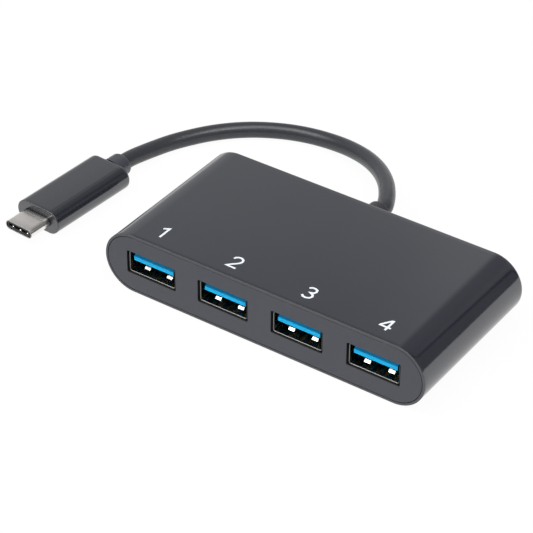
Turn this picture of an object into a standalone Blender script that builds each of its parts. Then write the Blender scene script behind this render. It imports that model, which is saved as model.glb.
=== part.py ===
"""USB hub: a flat sleeve with four receptacles in a flush front panel, a short captive cable and its plug.

Metres, +Z up. The ports face -Y and +X runs along their row. The origin is under the middle of the body.
"""
import math

import bmesh
import bpy
from mathutils import Vector

MM = 0.001

# Clearances
FIT = 0.3 * MM              # between moulded pieces, and where a piece rests on another
SNUG = 0.12 * MM            # between stamped or inserted pieces
SOLDER = 0.15 * MM          # stand-off of what is soldered to a board
OVERSHOOT = 1.0 * MM        # how far a cut runs past the surface that it opens

# Body sleeve: a tube of stadium section, closed at the back
END_MARGIN = 13.0 * MM      # from the middle of an outer port to the end of the body
BODY_DEPTH = 42.1 * MM
BODY_HEIGHT = 15.6 * MM
SLEEVE_WALL = 1.5 * MM
REAR_WALL = 1.6 * MM
REAR_FILLET = 0.8 * MM
EDGE_BREAK = 0.1 * MM
END_STEPS = 20              # facets of a half-round end
FILLET_STEPS = 4
RAIL_HEIGHT = 1.2 * MM
RAIL_REACH = 1.2 * MM       # how far a rail laps over the board's edge
STOP_REACH = 0.8 * MM       # how far the stop behind the board laps over it

# Front panel, flush in the mouth of the sleeve
RIM = 0.6 * MM              # sleeve edge that shows round the panel
SEAM = 0.1 * MM
PANEL_THICKNESS = 2.0 * MM
PANEL_EDGE = 0.08 * MM
TAB_WIDTH = 4.0 * MM
TAB_THICKNESS = 1.0 * MM
TAB_LENGTH = 6.0 * MM
TAB_BARB = 0.5 * MM
BARB_LENGTH = 1.4 * MM

# Receptacles
PORT_COUNT = 4
PORT_PITCH = 19.8 * MM
PORT_LIFT = 0.3 * MM        # port centre above the middle of the body
PORT_RECESS = 0.4 * MM      # shell edge behind the panel's face
PORT_GAP_SIDE = 0.33 * MM
PORT_GAP_TOP = 0.2 * MM
CUTOUT_RADIUS = 0.4 * MM
SHELL_WIDTH = 12.5 * MM     # inside
SHELL_HEIGHT = 5.08 * MM    # inside
SHELL_DEPTH = 17.5 * MM
SHELL_CORNER = 0.35 * MM
LEAD_IN = 0.12 * MM         # bevel inside the mouth, less than the sheet's thickness
SHEET = 0.25 * MM
CORNER_STEPS = 3
PLUG_ROOM = 12.2 * MM       # free depth for an inserted plug
TAIL_ROOM = 1.25 * MM       # behind the insulator's block, for the contact tails
TONGUE_WIDTH = 11.1 * MM
TONGUE_THICKNESS = 1.84 * MM
TONGUE_LIFT = 0.08 * MM     # tongue's lower face above the port's middle
TONGUE_RECESS = 0.6 * MM
TONGUE_CHAMFER = 0.12 * MM
TONGUE_FACE = 1.1 * MM      # upright part of the tongue's tip, under its slope
TONGUE_SLOPE = 0.9 * MM     # how far the slope over the tip runs back

# Leaf springs cut from the floor and roof of each receptacle shell
SPRING_X = 3.1 * MM
SPRING_WIDTH = 1.5 * MM
SPRING_SHEET = 0.2 * MM
SPRING_SLOT = 0.35 * MM
SPRING_ROOT = 2.2 * MM      # root of a spring behind the shell's edge
SPRING_OVERLAP = 0.6 * MM
SPRING_RAMP = 0.6 * MM      # steep part behind the root
SPRING_BACK = 1.8 * MM      # ramp to crest
SPRING_FALL_RUN = 2.2 * MM  # crest to free end
FLOOR_RISE = 0.6 * MM
ROOF_RISE = 0.35 * MM
SPRING_CREST = 0.1          # rise from the ramp to the crest, as a share of the ramp's
SPRING_FALL = 0.5           # drop from the crest to the free end, as a share of the ramp's

# Solder legs of each receptacle shell
LEG_WIDTH = 1.4 * MM
LEG_SHEET = 0.2 * MM
LEG_FRONT = 4.5 * MM        # front legs behind the shell's edge
LEG_REAR = 14.5 * MM
LEG_BELOW = 0.6 * MM        # leg tip under the board

# Contacts of each receptacle
CONTACT_PLACES = (-3.5 * MM, -1.0 * MM, 1.0 * MM, 3.5 * MM)
CONTACT_WIDTH = 0.8 * MM
CONTACT_SHEET = 0.2 * MM
CONTACT_SETBACK = 1.2 * MM
CONTACT_BUMP = 0.35 * MM
CONTACT_BUMP_RUN = 2.6 * MM
TAIL_SIDE = 0.7 * MM        # room beside the outer tails in the shell's floor

# Circuit board and what is soldered to it
BOARD_THICKNESS = 1.6 * MM
BOARD_SIDE_GAP = 0.7 * MM
CHIP_SIZE = 7.0 * MM
CHIP_HEIGHT = 0.9 * MM
CHIP_BEVEL = 0.12 * MM
CRYSTAL_X = -9.0 * MM
CRYSTAL_WIDTH = 5.0 * MM
CRYSTAL_DEPTH = 3.2 * MM
CRYSTAL_HEIGHT = 1.3 * MM
REGULATOR_X = 10.5 * MM
REGULATOR_WIDTH = 6.5 * MM
REGULATOR_DEPTH = 3.5 * MM
REGULATOR_HEIGHT = 1.6 * MM
LEAD_PITCH = 2.3 * MM
LEAD_WIDTH = 0.7 * MM
LEAD_REACH = 1.7 * MM
LEAD_SHEET = 0.3 * MM
CAPACITOR_X = 23.0 * MM
CAPACITOR_DIAMETER = 6.3 * MM
CAPACITOR_HEIGHT = 5.4 * MM
CAPACITOR_BASE = 6.6 * MM
CAPACITOR_BASE_HEIGHT = 0.9 * MM
CAPACITOR_GROOVE = 0.35 * MM
TURN_STEPS = 24             # facets round a turned piece

# Cable, its strain relief in the back wall and the wires to the board
CABLE_DIAMETER = 4.1 * MM
CABLE_SPACING = 2.2         # cable diameters from one ring of the tube to the next
CABLE_SIDES = 4             # bevel resolution of the tube
CABLE_LEAD = 1.2 * MM       # straight start and end of the cable
RELIEF_LENGTH = 7.5 * MM
RELIEF_BASE = 6.5 * MM
RELIEF_TIP = 5.9 * MM
RELIEF_NECK = 5.0 * MM
RELIEF_FLANGE = 8.4 * MM
RELIEF_FLANGE_THICKNESS = 1.5 * MM
RELIEF_ROUND = 0.5 * MM
TAIL_LENGTH = 2.0 * MM
WIRE_COUNT = 8
WIRE_DIAMETER = 0.8 * MM
WIRE_SIDES = 2              # bevel resolution of a wire
WIRE_RING = 1.4 * MM        # radius of the ring that the wires leave the jacket in
WIRE_PITCH = 1.4 * MM       # wire ends along the board's back edge
WIRE_LAP = 1.2 * MM         # wire ends on the board
WIRE_RUN = 5.6 * MM         # open length between the jacket and the board

# Route of the cable over the table, from the strain relief to the plug
CABLE_ROUTE_MM = (
    (0.0, 29.1, 8.3), (-0.6, 32.2, 8.2), (-2.8, 36.4, 7.75), (-6.4, 41.6, 6.9), (-11.5, 46.9, 5.7),
    (-17.7, 51.2, 4.5), (-24.6, 54.1, 3.3), (-31.2, 55.2, 2.5), (-37.0, 54.8, 2.2), (-42.2, 53.4, 2.1),
    (-46.9, 51.2, 2.1), (-51.1, 48.5, 2.1), (-54.9, 45.2, 2.1), (-58.3, 41.3, 2.1), (-61.2, 36.9, 2.1),
    (-63.7, 32.0, 2.15), (-65.4, 26.4, 2.45), (-66.5, 21.0, 2.9), (-66.9, 16.9, 3.1),
)

# Plug on the far end
PLUG_HEADING = math.radians(-3.9)
MOLD_WIDTH = 13.1 * MM
MOLD_HEIGHT = 6.2 * MM
MOLD_LENGTH = 26.0 * MM
MOLD_FRONT_ROUND = 0.2 * MM
MOLD_REAR_ROUND = 1.0 * MM
NECK_WIDTH = 6.2 * MM
NECK_HEIGHT = 5.4 * MM
NECK_LENGTH = 4.2 * MM
NECK_TAPER = 0.5 * MM
PLUG_WIDTH = 8.25 * MM
PLUG_HEIGHT = 2.4 * MM
PLUG_REACH = 6.65 * MM
PLUG_SHEET = 0.22 * MM
PLUG_SEAT = 4.0 * MM        # shell length held in the overmold
MOUTH_RECESS = 0.25 * MM
MOUTH_WIDTH = 6.7 * MM
MOUTH_HEIGHT = 0.85 * MM
MOUTH_DEPTH = 5.4 * MM
CARD_WIDTH = 7.0 * MM
CARD_LENGTH = 8.0 * MM
CARD_THICKNESS = 0.8 * MM

# Places that follow from the sizes above
BODY_WIDTH = (PORT_COUNT - 1) * PORT_PITCH + 2 * END_MARGIN
FRONT_Y = -BODY_DEPTH / 2
REAR_Y = BODY_DEPTH / 2
REAR_INNER_Y = REAR_Y - REAR_WALL
MID_Z = BODY_HEIGHT / 2
CEILING_Z = BODY_HEIGHT - SLEEVE_WALL
PANEL_BACK_Y = FRONT_Y + PANEL_THICKNESS
LEDGE_Y = PANEL_BACK_Y + FIT
PORT_Z = MID_Z + PORT_LIFT
SHELL_FRONT_Y = FRONT_Y + PORT_RECESS
SHELL_BACK_Y = SHELL_FRONT_Y + SHELL_DEPTH
SHELL_OUTER_WIDTH = SHELL_WIDTH + 2 * SHEET
SHELL_OUTER_HEIGHT = SHELL_HEIGHT + 2 * SHEET
FLOOR_Z = PORT_Z - SHELL_HEIGHT / 2
ROOF_Z = PORT_Z + SHELL_HEIGHT / 2
SPRING_LENGTH = SPRING_RAMP + SPRING_BACK + SPRING_FALL_RUN
TONGUE_FRONT_Y = SHELL_FRONT_Y + TONGUE_RECESS
TONGUE_LOW_Z = PORT_Z + TONGUE_LIFT
BLOCK_FRONT_Y = SHELL_FRONT_Y + PLUG_ROOM
BLOCK_BACK_Y = SHELL_BACK_Y - SHEET - TAIL_ROOM
CHANNEL_DEPTH = SNUG + CONTACT_SHEET
TAIL_Y = BLOCK_BACK_Y + SNUG + CONTACT_SHEET / 2
BOARD_TOP_Z = FLOOR_Z - SHEET - SOLDER
BOARD_LOW_Z = BOARD_TOP_Z - BOARD_THICKNESS
BOARD_FRONT_Y = LEDGE_Y + FIT
COMPONENT_Z = BOARD_TOP_Z + SOLDER
CABLE_RADIUS = CABLE_DIAMETER / 2
RELIEF_TIP_Y = REAR_Y + RELIEF_LENGTH
ROUTE_SHIFT = Vector((0.0, RELIEF_TIP_Y + FIT - CABLE_ROUTE_MM[0][1] * MM, 0.0))
CABLE_ROUTE = [Vector(point) * MM + ROUTE_SHIFT for point in CABLE_ROUTE_MM]
EXIT_Z = CABLE_ROUTE[0].z
FLANGE_FRONT_Y = REAR_INNER_Y - FIT - RELIEF_FLANGE_THICKNESS
JACKET_END_Y = FLANGE_FRONT_Y - FIT - TAIL_LENGTH
BOARD_REAR_Y = JACKET_END_Y - WIRE_RUN
COMPONENT_Y = (SHELL_BACK_Y + BOARD_REAR_Y - WIRE_LAP) / 2
MOLD_BACK_Y = -NECK_LENGTH
MOLD_FRONT_Y = MOLD_BACK_Y - MOLD_LENGTH
MOLD_Z = MOLD_HEIGHT / 2


# Outlines and solids

def port_x(index):
    """Middle of a port along the row."""
    return (index - (PORT_COUNT - 1) / 2) * PORT_PITCH


def stadium(width, height):
    """Outline of two half circles joined by straight sides, about its centre."""
    radius = height / 2
    reach = width / 2 - radius
    points = []
    for side in (1, -1):
        for step in range(END_STEPS + 1):
            angle = math.pi * (step / END_STEPS - side / 2)
            points.append((side * reach + radius * math.cos(angle), radius * math.sin(angle)))
    return points


def rounded(width, height, radius):
    """Outline of a rectangle with round corners, about its centre."""
    points = []
    for quarter, (side, level) in enumerate(((1, 1), (-1, 1), (-1, -1), (1, -1))):
        for step in range(CORNER_STEPS + 1):
            angle = math.pi / 2 * (quarter + step / CORNER_STEPS)
            points.append((side * (width / 2 - radius) + radius * math.cos(angle),
                           level * (height / 2 - radius) + radius * math.sin(angle)))
    return points


def strip(line, sheet):
    """Outline of a bent strip: its middle line moved half a sheet to either side, mitred at the bends."""
    path = [Vector(point) for point in line]
    normals = []
    for start, end in zip(path, path[1:]):
        along = (end - start).normalized()
        normals.append(Vector((-along.y, along.x)))
    offsets = [normals[0]]
    for before, after in zip(normals, normals[1:]):
        mitre = (before + after).normalized()
        offsets.append(mitre / mitre.dot(after))
    offsets.append(normals[-1])
    upper = [tuple(point + offset * sheet / 2) for point, offset in zip(path, offsets)]
    lower = [tuple(point - offset * sheet / 2) for point, offset in zip(path, offsets)]
    return upper + lower[::-1]


def level_ring(outline, y, z):
    """Outline stood up square to Y at the depth y, its centre at the height z."""
    return [(u, y, z + v) for u, v in outline]


def mesh_of(name, *solids):
    """One mesh of the given solids, each a list of points and a list of faces, faces outwards."""
    points = []
    faces = []
    for solid_points, solid_faces in solids:
        start = len(points)
        points.extend(solid_points)
        faces.extend(tuple(start + corner for corner in face) for face in solid_faces)
    mesh = bpy.data.meshes.new(name)
    mesh.from_pydata(points, [], faces)
    shape = bmesh.new()
    shape.from_mesh(mesh)
    bmesh.ops.recalc_face_normals(shape, faces=shape.faces)
    shape.to_mesh(mesh)
    shape.free()
    return mesh


def loft(rings):
    """Solid through rings with equal numbers of points, closed by a flat face at either end."""
    count = len(rings[0])
    points = [point for ring in rings for point in ring]
    faces = [tuple(range(count)), tuple(range(len(points) - count, len(points)))]
    for low in range(0, len(points) - count, count):
        for corner in range(count):
            after = (corner + 1) % count
            faces.append((low + corner, low + after, low + count + after, low + count + corner))
    return points, faces


def prism(outline, front, back, z=0.0):
    """Outline in X and Z carried along Y."""
    return loft([level_ring(outline, front, z), level_ring(outline, back, z)])


def slab(outline, left, right):
    """Outline in Y and Z carried along X."""
    return loft([[(left, y, z) for y, z in outline], [(right, y, z) for y, z in outline]])


def box(low, high):
    """Box between two corners."""
    base = [(low[0], low[1]), (high[0], low[1]), (high[0], high[1]), (low[0], high[1])]
    return loft([[(x, y, low[2]) for x, y in base], [(x, y, high[2]) for x, y in base]])


def turned(profile, x, z):
    """Profile of depths and radii turned round an axis along Y through x and z."""
    rings = []
    for y, radius in profile:
        angles = [2 * math.pi * step / TURN_STEPS for step in range(TURN_STEPS)]
        rings.append([(x + radius * math.cos(a), y, z + radius * math.sin(a)) for a in angles])
    return loft(rings)


def placed(mesh):
    """Plain object that holds a mesh in the scene."""
    item = bpy.data.objects.new(mesh.name, mesh)
    bpy.context.scene.collection.objects.link(item)
    return item


def worked(base, *steps):
    """Mesh left after a list of (operation, tool mesh) Boolean steps on a base mesh."""
    body = placed(base)
    tools = []
    for operation, tool in steps:
        tools.append(placed(tool))
        change = body.modifiers.new(operation, "BOOLEAN")
        change.operation = operation
        change.solver = "EXACT"
        change.object = tools[-1]
    bpy.context.view_layer.update()
    result = bpy.data.meshes.new_from_object(body.evaluated_get(bpy.context.evaluated_depsgraph_get()))
    for item in [body, *tools]:
        bpy.data.objects.remove(item, do_unlink=True)
    return result


def finish(name, colour, roughness, metallic=0.0):
    """Plain surface finish."""
    material = bpy.data.materials.new(name)
    material.use_nodes = True
    shader = material.node_tree.nodes["Principled BSDF"]
    shader.inputs["Base Color"].default_value = (*colour, 1.0)
    shader.inputs["Roughness"].default_value = roughness
    shader.inputs["Metallic"].default_value = metallic
    return material


def node(name, mesh, material, parent, x=0.0):
    """Named piece of the assembly, moved along X from where its mesh was made."""
    item = bpy.data.objects.new(name, mesh)
    bpy.context.scene.collection.objects.link(item)
    item.parent = parent
    item.location.x = x
    if not mesh.materials:
        mesh.materials.append(material)
        mesh.shade_smooth()
        mesh.set_sharp_from_angle(angle=math.radians(30))
    return item


def anchor(name, place=(0.0, 0.0, 0.0), heading=0.0):
    """Empty that carries a group of pieces."""
    item = bpy.data.objects.new(name, None)
    bpy.context.scene.collection.objects.link(item)
    item.location = place
    item.rotation_euler.z = heading
    return item


# Sleeve and front panel

def wall_x(depth_in_wall, z):
    """Half width of the body at the height z, at a depth inside its outer surface."""
    radius = BODY_HEIGHT / 2 - depth_in_wall
    return BODY_WIDTH / 2 - BODY_HEIGHT / 2 + math.sqrt(radius ** 2 - (z - MID_Z) ** 2)


BOARD_HALF = wall_x(SLEEVE_WALL, BOARD_LOW_Z) - BOARD_SIDE_GAP
LOW_RAIL_Z = BOARD_LOW_Z - FIT - RAIL_HEIGHT
HIGH_RAIL_Z = BOARD_TOP_Z + FIT
TAB_PLACES = ((port_x(0) + port_x(1)) / 2, (port_x(PORT_COUNT - 2) + port_x(PORT_COUNT - 1)) / 2)
TAB_TOP_Z = CEILING_Z - FIT
TAB_END_Y = PANEL_BACK_Y + TAB_LENGTH


def body_ring(y, inset):
    """Section of the body at the depth y, drawn in by an inset."""
    return level_ring(stadium(BODY_WIDTH - 2 * inset, BODY_HEIGHT - 2 * inset), y, MID_Z)


def mirrored(z, below):
    """Height z, or the same distance from the other face of the body."""
    return BODY_HEIGHT - z if below else z


def rails():
    """Lower rails, upper rails and stops for the board along the ends of the cavity, as three pairs."""
    back = REAR_INNER_Y + REAR_WALL / 2
    middle = RAIL_HEIGHT / 2
    rail_inner = BOARD_HALF - RAIL_REACH
    spans = (
        (LOW_RAIL_Z, LOW_RAIL_Z + RAIL_HEIGHT, LEDGE_Y + FIT, rail_inner),
        (HIGH_RAIL_Z, HIGH_RAIL_Z + RAIL_HEIGHT, SHELL_BACK_Y, rail_inner),
        (LOW_RAIL_Z + middle, HIGH_RAIL_Z + middle, BOARD_REAR_Y + FIT, BOARD_HALF - STOP_REACH),
    )
    pairs = []
    for low, high, front, inner in spans:
        outer = wall_x(SLEEVE_WALL / 2, low + middle)
        sides = [sorted((side * inner, side * outer)) for side in (-1, 1)]
        pairs.append([box((left, front, low), (right, back, high)) for left, right in sides])
    return pairs


def barb_pockets():
    """Recesses in the roof and floor of the cavity that the panel's barbs snap into."""
    solids = []
    for x in TAB_PLACES:
        half = TAB_WIDTH / 2 + FIT
        for below in (False, True):
            heights = sorted((mirrored(CEILING_Z - OVERSHOOT, below), mirrored(CEILING_Z + TAB_BARB, below)))
            solids.append(box((x - half, TAB_END_Y - BARB_LENGTH - FIT, heights[0]),
                              (x + half, TAB_END_Y + FIT, heights[1])))
    return solids


def sleeve_mesh():
    """Stadium tube with a broken front edge and a filleted back, hollowed from the front."""
    rings = [body_ring(FRONT_Y, EDGE_BREAK), body_ring(FRONT_Y + EDGE_BREAK, 0.0)]
    for step in range(FILLET_STEPS + 1):
        angle = math.pi / 2 * step / FILLET_STEPS
        y = REAR_Y - REAR_FILLET * (1 - math.sin(angle))
        rings.append(body_ring(y, REAR_FILLET * (1 - math.cos(angle))))
    front = FRONT_Y - OVERSHOOT
    cavity = loft([body_ring(front, SLEEVE_WALL), body_ring(REAR_INNER_Y, SLEEVE_WALL)])
    mouth = loft([body_ring(front, RIM), body_ring(LEDGE_Y, RIM)])
    hole_radius = RELIEF_NECK / 2 + FIT
    hole = turned([(REAR_INNER_Y - OVERSHOOT, hole_radius), (REAR_Y + OVERSHOOT, hole_radius)], 0.0, EXIT_Z)
    return worked(
        mesh_of("sleeve", loft(rings)),
        ("DIFFERENCE", mesh_of("cavity", cavity)),
        ("DIFFERENCE", mesh_of("mouth", mouth)),
        ("DIFFERENCE", mesh_of("hole", hole)),
        ("DIFFERENCE", mesh_of("pockets", *barb_pockets())),
        *(("UNION", mesh_of("rails", *pair)) for pair in rails()),
    )


def snap_tabs():
    """Four barbed tabs behind the panel, two under the roof and two over the floor."""
    root = PANEL_BACK_Y - PANEL_THICKNESS / 2
    low = TAB_TOP_Z - TAB_THICKNESS
    outline = [(root, low), (TAB_END_Y, low), (TAB_END_Y, TAB_TOP_Z),
               (TAB_END_Y - BARB_LENGTH, TAB_TOP_Z + TAB_BARB), (TAB_END_Y - BARB_LENGTH, TAB_TOP_Z),
               (root, TAB_TOP_Z)]
    solids = []
    for x in TAB_PLACES:
        for below in (False, True):
            side = [(y, mirrored(z, below)) for y, z in outline]
            solids.append(slab(side, x - TAB_WIDTH / 2, x + TAB_WIDTH / 2))
    return solids


def panel_mesh():
    """Plate with a broken edge, a cut-out for each port and snap tabs behind."""
    inset = RIM + SEAM
    plate = loft([body_ring(FRONT_Y, inset + PANEL_EDGE), body_ring(FRONT_Y + PANEL_EDGE, inset),
                  body_ring(PANEL_BACK_Y, inset)])
    cutout = rounded(SHELL_OUTER_WIDTH + 2 * PORT_GAP_SIDE, SHELL_OUTER_HEIGHT + 2 * PORT_GAP_TOP,
                     CUTOUT_RADIUS)
    cutouts = []
    for index in range(PORT_COUNT):
        outline = [(port_x(index) + u, v) for u, v in cutout]
        cutouts.append(prism(outline, FRONT_Y - OVERSHOOT, PANEL_BACK_Y + OVERSHOOT, PORT_Z))
    return worked(
        mesh_of("front_panel", plate),
        ("UNION", mesh_of("tabs", *snap_tabs())),
        ("DIFFERENCE", mesh_of("cutouts", *cutouts)),
    )


# Receptacles, made once about the middle of a port

def leaf_springs():
    """Bent strips rooted in front of their slots: two rise from the floor, two drop from the roof."""
    solids = []
    root = SHELL_FRONT_Y + SPRING_ROOT
    for level, rise in ((FLOOR_Z - SHEET / 2, FLOOR_RISE), (ROOF_Z + SHEET / 2, -ROOF_RISE)):
        crest = level + rise * (1 + SPRING_CREST)
        line = [(root - SPRING_OVERLAP, level), (root, level), (root + SPRING_RAMP, level + rise),
                (root + SPRING_RAMP + SPRING_BACK, crest), (root + SPRING_LENGTH, crest - rise * SPRING_FALL)]
        for x in (-SPRING_X, SPRING_X):
            solids.append(slab(strip(line, SPRING_SHEET), x - SPRING_WIDTH / 2, x + SPRING_WIDTH / 2))
    return solids


def spring_slots():
    """Slots in the floor and roof that the springs are cut from."""
    solids = []
    half = SPRING_WIDTH / 2 + SPRING_SLOT
    front = SHELL_FRONT_Y + SPRING_ROOT
    back = front + SPRING_LENGTH + SPRING_SLOT
    for low, high in ((FLOOR_Z - SHEET, FLOOR_Z), (ROOF_Z, ROOF_Z + SHEET)):
        for x in (-SPRING_X, SPRING_X):
            solids.append(box((x - half, front, low - SHEET), (x + half, back, high + SHEET)))
    return solids


def leg_places():
    """Middle of each solder leg, about the middle of the port."""
    across = SHELL_WIDTH / 2 + SHEET / 2
    return [(side * across, SHELL_FRONT_Y + back) for side in (-1, 1) for back in (LEG_FRONT, LEG_REAR)]


def shell_legs():
    """Legs that carry the side walls down through the board."""
    low = BOARD_LOW_Z - LEG_BELOW
    solids = []
    for x, y in leg_places():
        solids.append(box((x - LEG_SHEET / 2, y - LEG_WIDTH / 2, low),
                          (x + LEG_SHEET / 2, y + LEG_WIDTH / 2, PORT_Z)))
    return solids


def shell_mesh():
    """Folded steel shell, open at the front, with springs, legs and an opening for the contact tails."""
    outer = rounded(SHELL_OUTER_WIDTH, SHELL_OUTER_HEIGHT, SHELL_CORNER + SHEET)
    tail_half = max(CONTACT_PLACES) + CONTACT_WIDTH / 2 + TAIL_SIDE
    tails = box((-tail_half, BLOCK_BACK_Y - SNUG, FLOOR_Z - 2 * SHEET),
                (tail_half, SHELL_BACK_Y - SHEET, FLOOR_Z + SHEET))
    flared = [rounded(SHELL_WIDTH + 2 * flare, SHELL_HEIGHT + 2 * flare, SHELL_CORNER + flare)
              for flare in (LEAD_IN, 0.0)]
    inside = loft([level_ring(flared[0], SHELL_FRONT_Y - OVERSHOOT, PORT_Z),
                   level_ring(flared[0], SHELL_FRONT_Y, PORT_Z),
                   level_ring(flared[1], SHELL_FRONT_Y + LEAD_IN, PORT_Z),
                   level_ring(flared[1], SHELL_BACK_Y - SHEET, PORT_Z)])
    return worked(
        mesh_of("port_shell", prism(outer, SHELL_FRONT_Y, SHELL_BACK_Y, PORT_Z)),
        ("DIFFERENCE", mesh_of("inside", inside)),
        ("DIFFERENCE", mesh_of("openings", tails, *spring_slots())),
        ("UNION", mesh_of("legs", *shell_legs())),
        ("UNION", mesh_of("springs", *leaf_springs())),
    )


def tongue_mesh():
    """Insulator: a block that fills the back of the shell, and a grooved tongue with a sloped tip."""
    high = TONGUE_LOW_Z + TONGUE_THICKNESS
    inner_back = (BLOCK_FRONT_Y + BLOCK_BACK_Y) / 2
    side = [(TONGUE_FRONT_Y, TONGUE_LOW_Z + TONGUE_CHAMFER), (TONGUE_FRONT_Y + TONGUE_CHAMFER, TONGUE_LOW_Z),
            (inner_back, TONGUE_LOW_Z), (inner_back, high), (TONGUE_FRONT_Y + TONGUE_SLOPE, high),
            (TONGUE_FRONT_Y, TONGUE_LOW_Z + TONGUE_FACE)]
    tongue = slab(side, -TONGUE_WIDTH / 2, TONGUE_WIDTH / 2)
    block = prism(rounded(SHELL_WIDTH - 2 * SNUG, SHELL_HEIGHT - 2 * SNUG, SHELL_CORNER),
                  BLOCK_FRONT_Y, BLOCK_BACK_Y, PORT_Z)
    half = CONTACT_WIDTH / 2 + SNUG
    grooves = [box((x - half, TONGUE_FRONT_Y + CONTACT_SETBACK - SNUG, FLOOR_Z - OVERSHOOT),
                   (x + half, BLOCK_BACK_Y + OVERSHOOT, TONGUE_LOW_Z + CHANNEL_DEPTH))
               for x in CONTACT_PLACES]
    return worked(
        mesh_of("port_tongue", block),
        ("UNION", mesh_of("tongue", tongue)),
        ("DIFFERENCE", mesh_of("grooves", *grooves)),
    )


def contact_mesh():
    """Spring contact: under the tongue with one bump, back through the block and down to the board."""
    groove = TONGUE_LOW_Z + CONTACT_SHEET / 2
    tip = TONGUE_FRONT_Y + CONTACT_SETBACK
    line = [(tip, groove), (tip + CONTACT_BUMP_RUN, groove - CONTACT_BUMP),
            (tip + 2 * CONTACT_BUMP_RUN, groove), (TAIL_Y, groove), (TAIL_Y, COMPONENT_Z)]
    return mesh_of("port_contact", slab(strip(line, CONTACT_SHEET), -CONTACT_WIDTH / 2, CONTACT_WIDTH / 2))


# Circuit board and components

def board_mesh():
    """Board with slots for the shell legs and notches for the lower snap tabs."""
    plate = box((-BOARD_HALF, BOARD_FRONT_Y, BOARD_LOW_Z), (BOARD_HALF, BOARD_REAR_Y, BOARD_TOP_Z))
    low = BOARD_LOW_Z - OVERSHOOT
    high = BOARD_TOP_Z + OVERSHOOT
    cuts = []
    for index in range(PORT_COUNT):
        for x, y in leg_places():
            centre = port_x(index) + x
            across = LEG_SHEET / 2 + FIT
            along = LEG_WIDTH / 2 + FIT
            cuts.append(box((centre - across, y - along, low), (centre + across, y + along, high)))
    for x in TAB_PLACES:
        half = TAB_WIDTH / 2 + FIT
        cuts.append(box((x - half, BOARD_FRONT_Y - OVERSHOOT, low), (x + half, TAB_END_Y + FIT, high)))
    return worked(mesh_of("circuit_board", plate), ("DIFFERENCE", mesh_of("board_cuts", *cuts)))


def package_mesh(name, x, width, depth, height):
    """Flat component body with its upper edges drawn in."""
    def ring(inset, z):
        """Rectangle at the height z, drawn in by an inset."""
        half_x = width / 2 - inset
        half_y = depth / 2 - inset
        corners = ((-1, -1), (1, -1), (1, 1), (-1, 1))
        return [(x + u * half_x, COMPONENT_Y + v * half_y, z) for u, v in corners]
    top = COMPONENT_Z + height
    return mesh_of(name, loft([ring(0.0, COMPONENT_Z), ring(0.0, top - CHIP_BEVEL), ring(CHIP_BEVEL, top)]))


def regulator_mesh():
    """Regulator body with three leads in front and a wide tab behind."""
    body = package_mesh("voltage_regulator", REGULATOR_X, REGULATOR_WIDTH, REGULATOR_DEPTH, REGULATOR_HEIGHT)
    lead_low = COMPONENT_Z + LEAD_SHEET
    lead_high = lead_low + LEAD_SHEET
    inside = REGULATOR_DEPTH / 4
    leads = []
    for place in (-1, 0, 1):
        x = REGULATOR_X + place * LEAD_PITCH
        leads.append(box((x - LEAD_WIDTH / 2, COMPONENT_Y - REGULATOR_DEPTH / 2 - LEAD_REACH, lead_low),
                         (x + LEAD_WIDTH / 2, COMPONENT_Y - inside, lead_high)))
    leads.append(box((REGULATOR_X - LEAD_PITCH / 2 - LEAD_WIDTH / 2, COMPONENT_Y + inside, lead_low),
                     (REGULATOR_X + LEAD_PITCH / 2 + LEAD_WIDTH / 2,
                      COMPONENT_Y + REGULATOR_DEPTH / 2 + LEAD_REACH, lead_high)))
    return worked(body, ("UNION", mesh_of("leads", *leads)))


def capacitor_mesh():
    """Aluminium can with a rolled groove, on a square base."""
    radius = CAPACITOR_DIAMETER / 2
    base_top = COMPONENT_Z + CAPACITOR_BASE_HEIGHT
    top = COMPONENT_Z + CAPACITOR_HEIGHT
    groove = base_top + CAPACITOR_GROOVE
    narrow = radius - CAPACITOR_GROOVE
    profile = [(COMPONENT_Z + CAPACITOR_BASE_HEIGHT / 2, narrow), (groove, narrow),
               (groove + 2 * CAPACITOR_GROOVE, radius), (top - CAPACITOR_GROOVE, radius), (top, narrow)]
    rings = []
    for z, ring_radius in profile:
        angles = [2 * math.pi * step / TURN_STEPS for step in range(TURN_STEPS)]
        rings.append([(ring_radius * math.cos(a), COMPONENT_Y + ring_radius * math.sin(a), z)
                      for a in angles])
    half = CAPACITOR_BASE / 2
    base = box((-half, COMPONENT_Y - half, COMPONENT_Z), (half, COMPONENT_Y + half, base_top))
    return worked(mesh_of("bulk_capacitor", base), ("UNION", mesh_of("can", loft(rings))))


# Cable, strain relief and wires

def relief_mesh():
    """Turned grommet: a flange inside the back wall, a neck through it and a tapered stub outside."""
    tip = RELIEF_TIP_Y
    outside = REAR_Y + FIT
    inside = REAR_INNER_Y - FIT
    profile = [(FLANGE_FRONT_Y, RELIEF_FLANGE / 2), (inside, RELIEF_FLANGE / 2), (inside, RELIEF_NECK / 2),
               (outside, RELIEF_NECK / 2), (outside, RELIEF_BASE / 2)]
    for step in range(FILLET_STEPS + 1):
        angle = math.pi / 2 * step / FILLET_STEPS
        profile.append((tip - RELIEF_ROUND * (1 - math.sin(angle)),
                        RELIEF_TIP / 2 - RELIEF_ROUND * (1 - math.cos(angle))))
    return mesh_of("strain_relief", turned(profile, 0.0, EXIT_Z))


def jacket_mesh():
    """Stub of cable jacket inside the body."""
    profile = [(JACKET_END_Y, CABLE_RADIUS), (FLANGE_FRONT_Y - FIT, CABLE_RADIUS)]
    return mesh_of("cable_tail", turned(profile, 0.0, EXIT_Z))


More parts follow.
